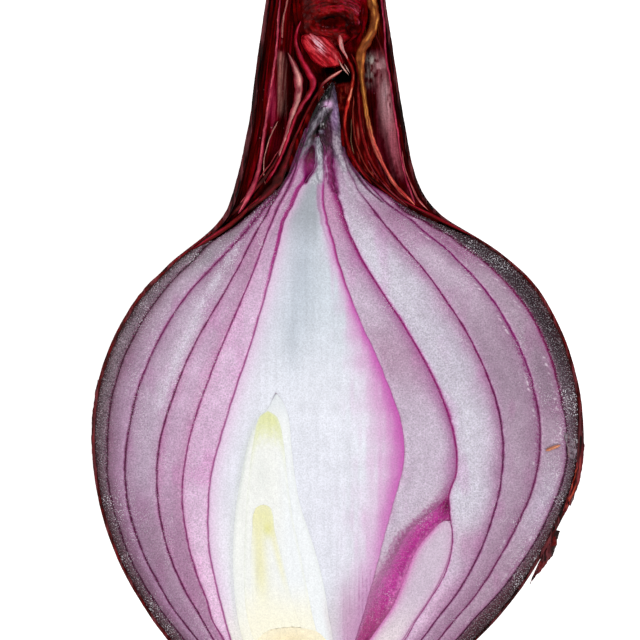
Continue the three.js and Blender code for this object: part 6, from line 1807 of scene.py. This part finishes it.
flake("tunic_flap", [(556, 530), (549, 543), (543.5, 553), (539, 562), (535.5, 570), (532.2, 577), (529.8, 584)],
      [(560.6, 531), (557.8, 540), (556, 548), (552.5, 556), (547, 564), (541.4, 571), (536, 577), (531.6, 582), (530, 585)], -0.25, 701,
      rgb(44, 2, 4), rgb(96, 16, 16), sag=0.25, thick=0.14)
flake("tunic_layer_a", [(578.5, 404), (580, 424), (580.6, 446), (578.4, 468), (574, 488), (567.5, 504)],
      [(580.4, 403), (583.6, 424), (584.6, 446), (583.2, 466), (578.4, 486), (571.6, 506)], -0.12, 711, rgb(38, 3, 8), rgb(88, 14, 18), sag=0.5)
flake("tunic_layer_b", [(576.5, 462), (574, 477), (569.5, 491), (566, 502), (563, 510)],
      [(579, 463), (577.0, 477), (572.4, 491), (568.6, 503), (563.8, 512)], 0.08, 721, rgb(96, 14, 14), rgb(186, 78, 58), sag=0.4)
flake("tunic_layer_c", [(99, 380), (95.5, 400), (93.5, 420), (93, 440), (94, 460), (97, 484)],
      [(97.6, 380), (93.8, 400), (91.6, 420), (91.2, 440), (92.2, 460), (96.2, 484)], -0.05, 731, rgb(60, 6, 14), rgb(108, 22, 30), sag=0.3)
flake("tunic_film", [(563, 432), (565, 440), (567, 448), (568, 457)], [(568, 434), (574, 441), (577, 451), (574, 459)], 0.10, 741,
      rgb(150, 136, 146), rgb(118, 102, 112), sag=0.04, thick=0.04)
strand("fibre_bit", [(445.0, 560.4), (446.6, 556), (448.4, 551), (450.4, 545.8)], [(445, 3.4), (450.4, 3.0)], [(445, 0.10), (450.4, 0.08)], 0.08,
       lambda v, a: np.broadcast_to(rgb(224, 148, 116), v.shape + (3,)), LEAF_MAT, 751, step=0.25, taper=1.2)


# ---- trimmed end of the neck ---------------------------------------------------------------
def neck_end():
    """The dried leaf bases where the neck was trimmed, pressed together one inside the other."""
    v0 = -82.0
    a, b = float(OUT_L(-74.0)) + 2.2, float(OUT_R(-74.0)) - 2.2
    w, m = (b - a) / 2, (a + b) / 2
    x = -np.cos(np.linspace(0.02, math.pi - 0.02, 150))[:, None]
    drop = 0.96 * w * UNIT * np.sqrt(1 - x * x)
    s = np.linspace(0, 1, 90)[None, :]
    u = m + w * x + 0 * s
    z = -0.12 - np.maximum(drop - 0.12, 0.05) * s
    q = z / (0.96 * w * UNIT)
    r, th = np.sqrt(x * x + q * q), np.arctan2(q, x)
    p = 9.0 * r ** 0.85 + 1.3 * fbm(th * 1.1, r * 1.6, 801, 2) + 0.25 * noise(th * 9.0, r * 4.0, 803)
    layer, part = np.floor(p), p - np.floor(p)
    crown = np.sin(np.pi * np.clip(part, 0, 1))
    rise = noise(layer * 7.3, 0.0 * layer, 805)
    v = v0 + 2.0 - 2.4 * crown ** 0.6 * (0.6 + 0.4 * rise) - 0.5 * noise(th * 14.0, layer * 3.1, 807)
    v = v + 2.2 * smooth(0.93, 1.0, r)
    n = fbm(th * 7.0, p * 1.7, 809, 3)
    c = mix(np.broadcast_to(rgb(92, 16, 28), u.shape + (3,)), rgb(146, 38, 54), smooth(-0.4, 0.5, n))
    c = mix(c, rgb(132, 78, 52), 0.8 * smooth(0.15, 0.5, rise))
    c = mix(c, rgb(186, 126, 112), 0.6 * smooth(0.8, 1.0, crown) * smooth(-0.2, 0.5, n))
    # painted shade in the gaps between the pressed layers
    c = mix(c, rgb(26, 2, 6), 0.85 * smooth(0.42, 0.1, crown))
    back_v = np.full((150, 90), v0 + 5.0)
    points, faces = ringed((u, v, z), (u, back_v, z))
    colours = np.concatenate([c.reshape(-1, 3), (c * 0.6)[:, 1:-1].reshape(-1, 3)])
    lay = np.stack(np.broadcast_arrays(th * 12.0, p * 2.0, 0 * u), -1).reshape(-1, 3)
    lay_b = np.stack(np.broadcast_arrays(th * 12.0, p * 2.0 + 90.0, 0 * u), -1)[:, 1:-1].reshape(-1, 3)
    return build("neck_trimmed_end", points, faces, colours, LEAF_MAT, (), lay=np.concatenate([lay, lay_b]))


neck_end()


# ---- floor, light, camera ---------------------------------------------------------------
def floor_plane():
    n = 24
    size = 1.6
    g = np.linspace(-size, size, n)
    pts = [(x, y, 0.0) for y in g for x in g]
    fcs = [(j * n + i, j * n + i + 1, (j + 1) * n + i + 1, (j + 1) * n + i) for j in range(n - 1) for i in range(n - 1)]
    mesh = bpy.data.meshes.new("floor")
    mesh.from_pydata(pts, [], fcs)
    mesh.update()
    obj = bpy.data.objects.new("floor", mesh)
    bpy.context.collection.objects.link(obj)
    mat = bpy.data.materials.new("floor")
    mat.use_nodes = True
    nt = mat.node_tree
    p = nt.nodes["Principled BSDF"]
    where = nt.nodes.new("ShaderNodeTexCoord")
    n1 = nt.nodes.new("ShaderNodeTexNoise")
    n1.inputs["Scale"].default_value = 3.0
    nt.links.new(where.outputs["Object"], n1.inputs["Vector"])
    ramp_ = nt.nodes.new("ShaderNodeMapRange")
    for i, q in enumerate((0.3, 0.7, 0.92, 0.94)):
        ramp_.inputs[i + 1].default_value = q
    nt.links.new(n1.outputs["Fac"], ramp_.inputs[0])
    nt.links.new(ramp_.outputs[0], p.inputs["Base Color"])
    p.inputs["Roughness"].default_value = 0.9
    p.inputs["Specular IOR Level"].default_value = 0.0
    p.inputs["Emission Color"].default_value = (1, 1, 1, 1)
    p.inputs["Emission Strength"].default_value = FLOOR_GLOW
    mesh.materials.append(mat)


FLOOR_GLOW = 0.62
SKY = 0.50
SUN = 0.62
floor_plane()
world = bpy.data.worlds.new("studio")
bpy.context.scene.world = world
world.use_nodes = True
world.node_tree.nodes["Background"].inputs[0].default_value = (1, 1, 1, 1)
world.node_tree.nodes["Background"].inputs[1].default_value = SKY


def lamp(name, strength, spread, tilt, turn):
    light = bpy.data.lights.new(name, "SUN")
    light.energy = strength
    light.angle = math.radians(spread)
    obj = bpy.data.objects.new(name, light)
    bpy.context.collection.objects.link(obj)
    obj.rotation_euler = (math.radians(tilt), 0.0, math.radians(turn))


lamp("key", math.pi * SUN * 0.78, 34, 46, 48)
lamp("fill", math.pi * SUN * 0.42, 60, 40, 215)

cam = bpy.data.cameras.new("camera")
cam.lens = 200.0
cam.sensor_width = 36.0
cam.clip_start = 0.01
cam.clip_end = 20.0
eye = bpy.data.objects.new("camera", cam)
bpy.context.collection.objects.link(eye)
eye.location = ((320.0 - U0) * UNIT * 1e-3 + CX * 1e-3, (V0 - 320.0) * UNIT * 1e-3 + CY * 1e-3, TOP * 1e-3 + 96.0 * 200.0 / 36.0 * 1e-3)
eye.rotation_euler = (0.0, 0.0, 0.0)
scene = bpy.context.scene
scene.camera = eye
scene.view_settings.view_transform = "Standard"
scene.view_settings.look = "None"
scene.view_settings.exposure = 0.0
scene.view_settings.gamma = 1.0
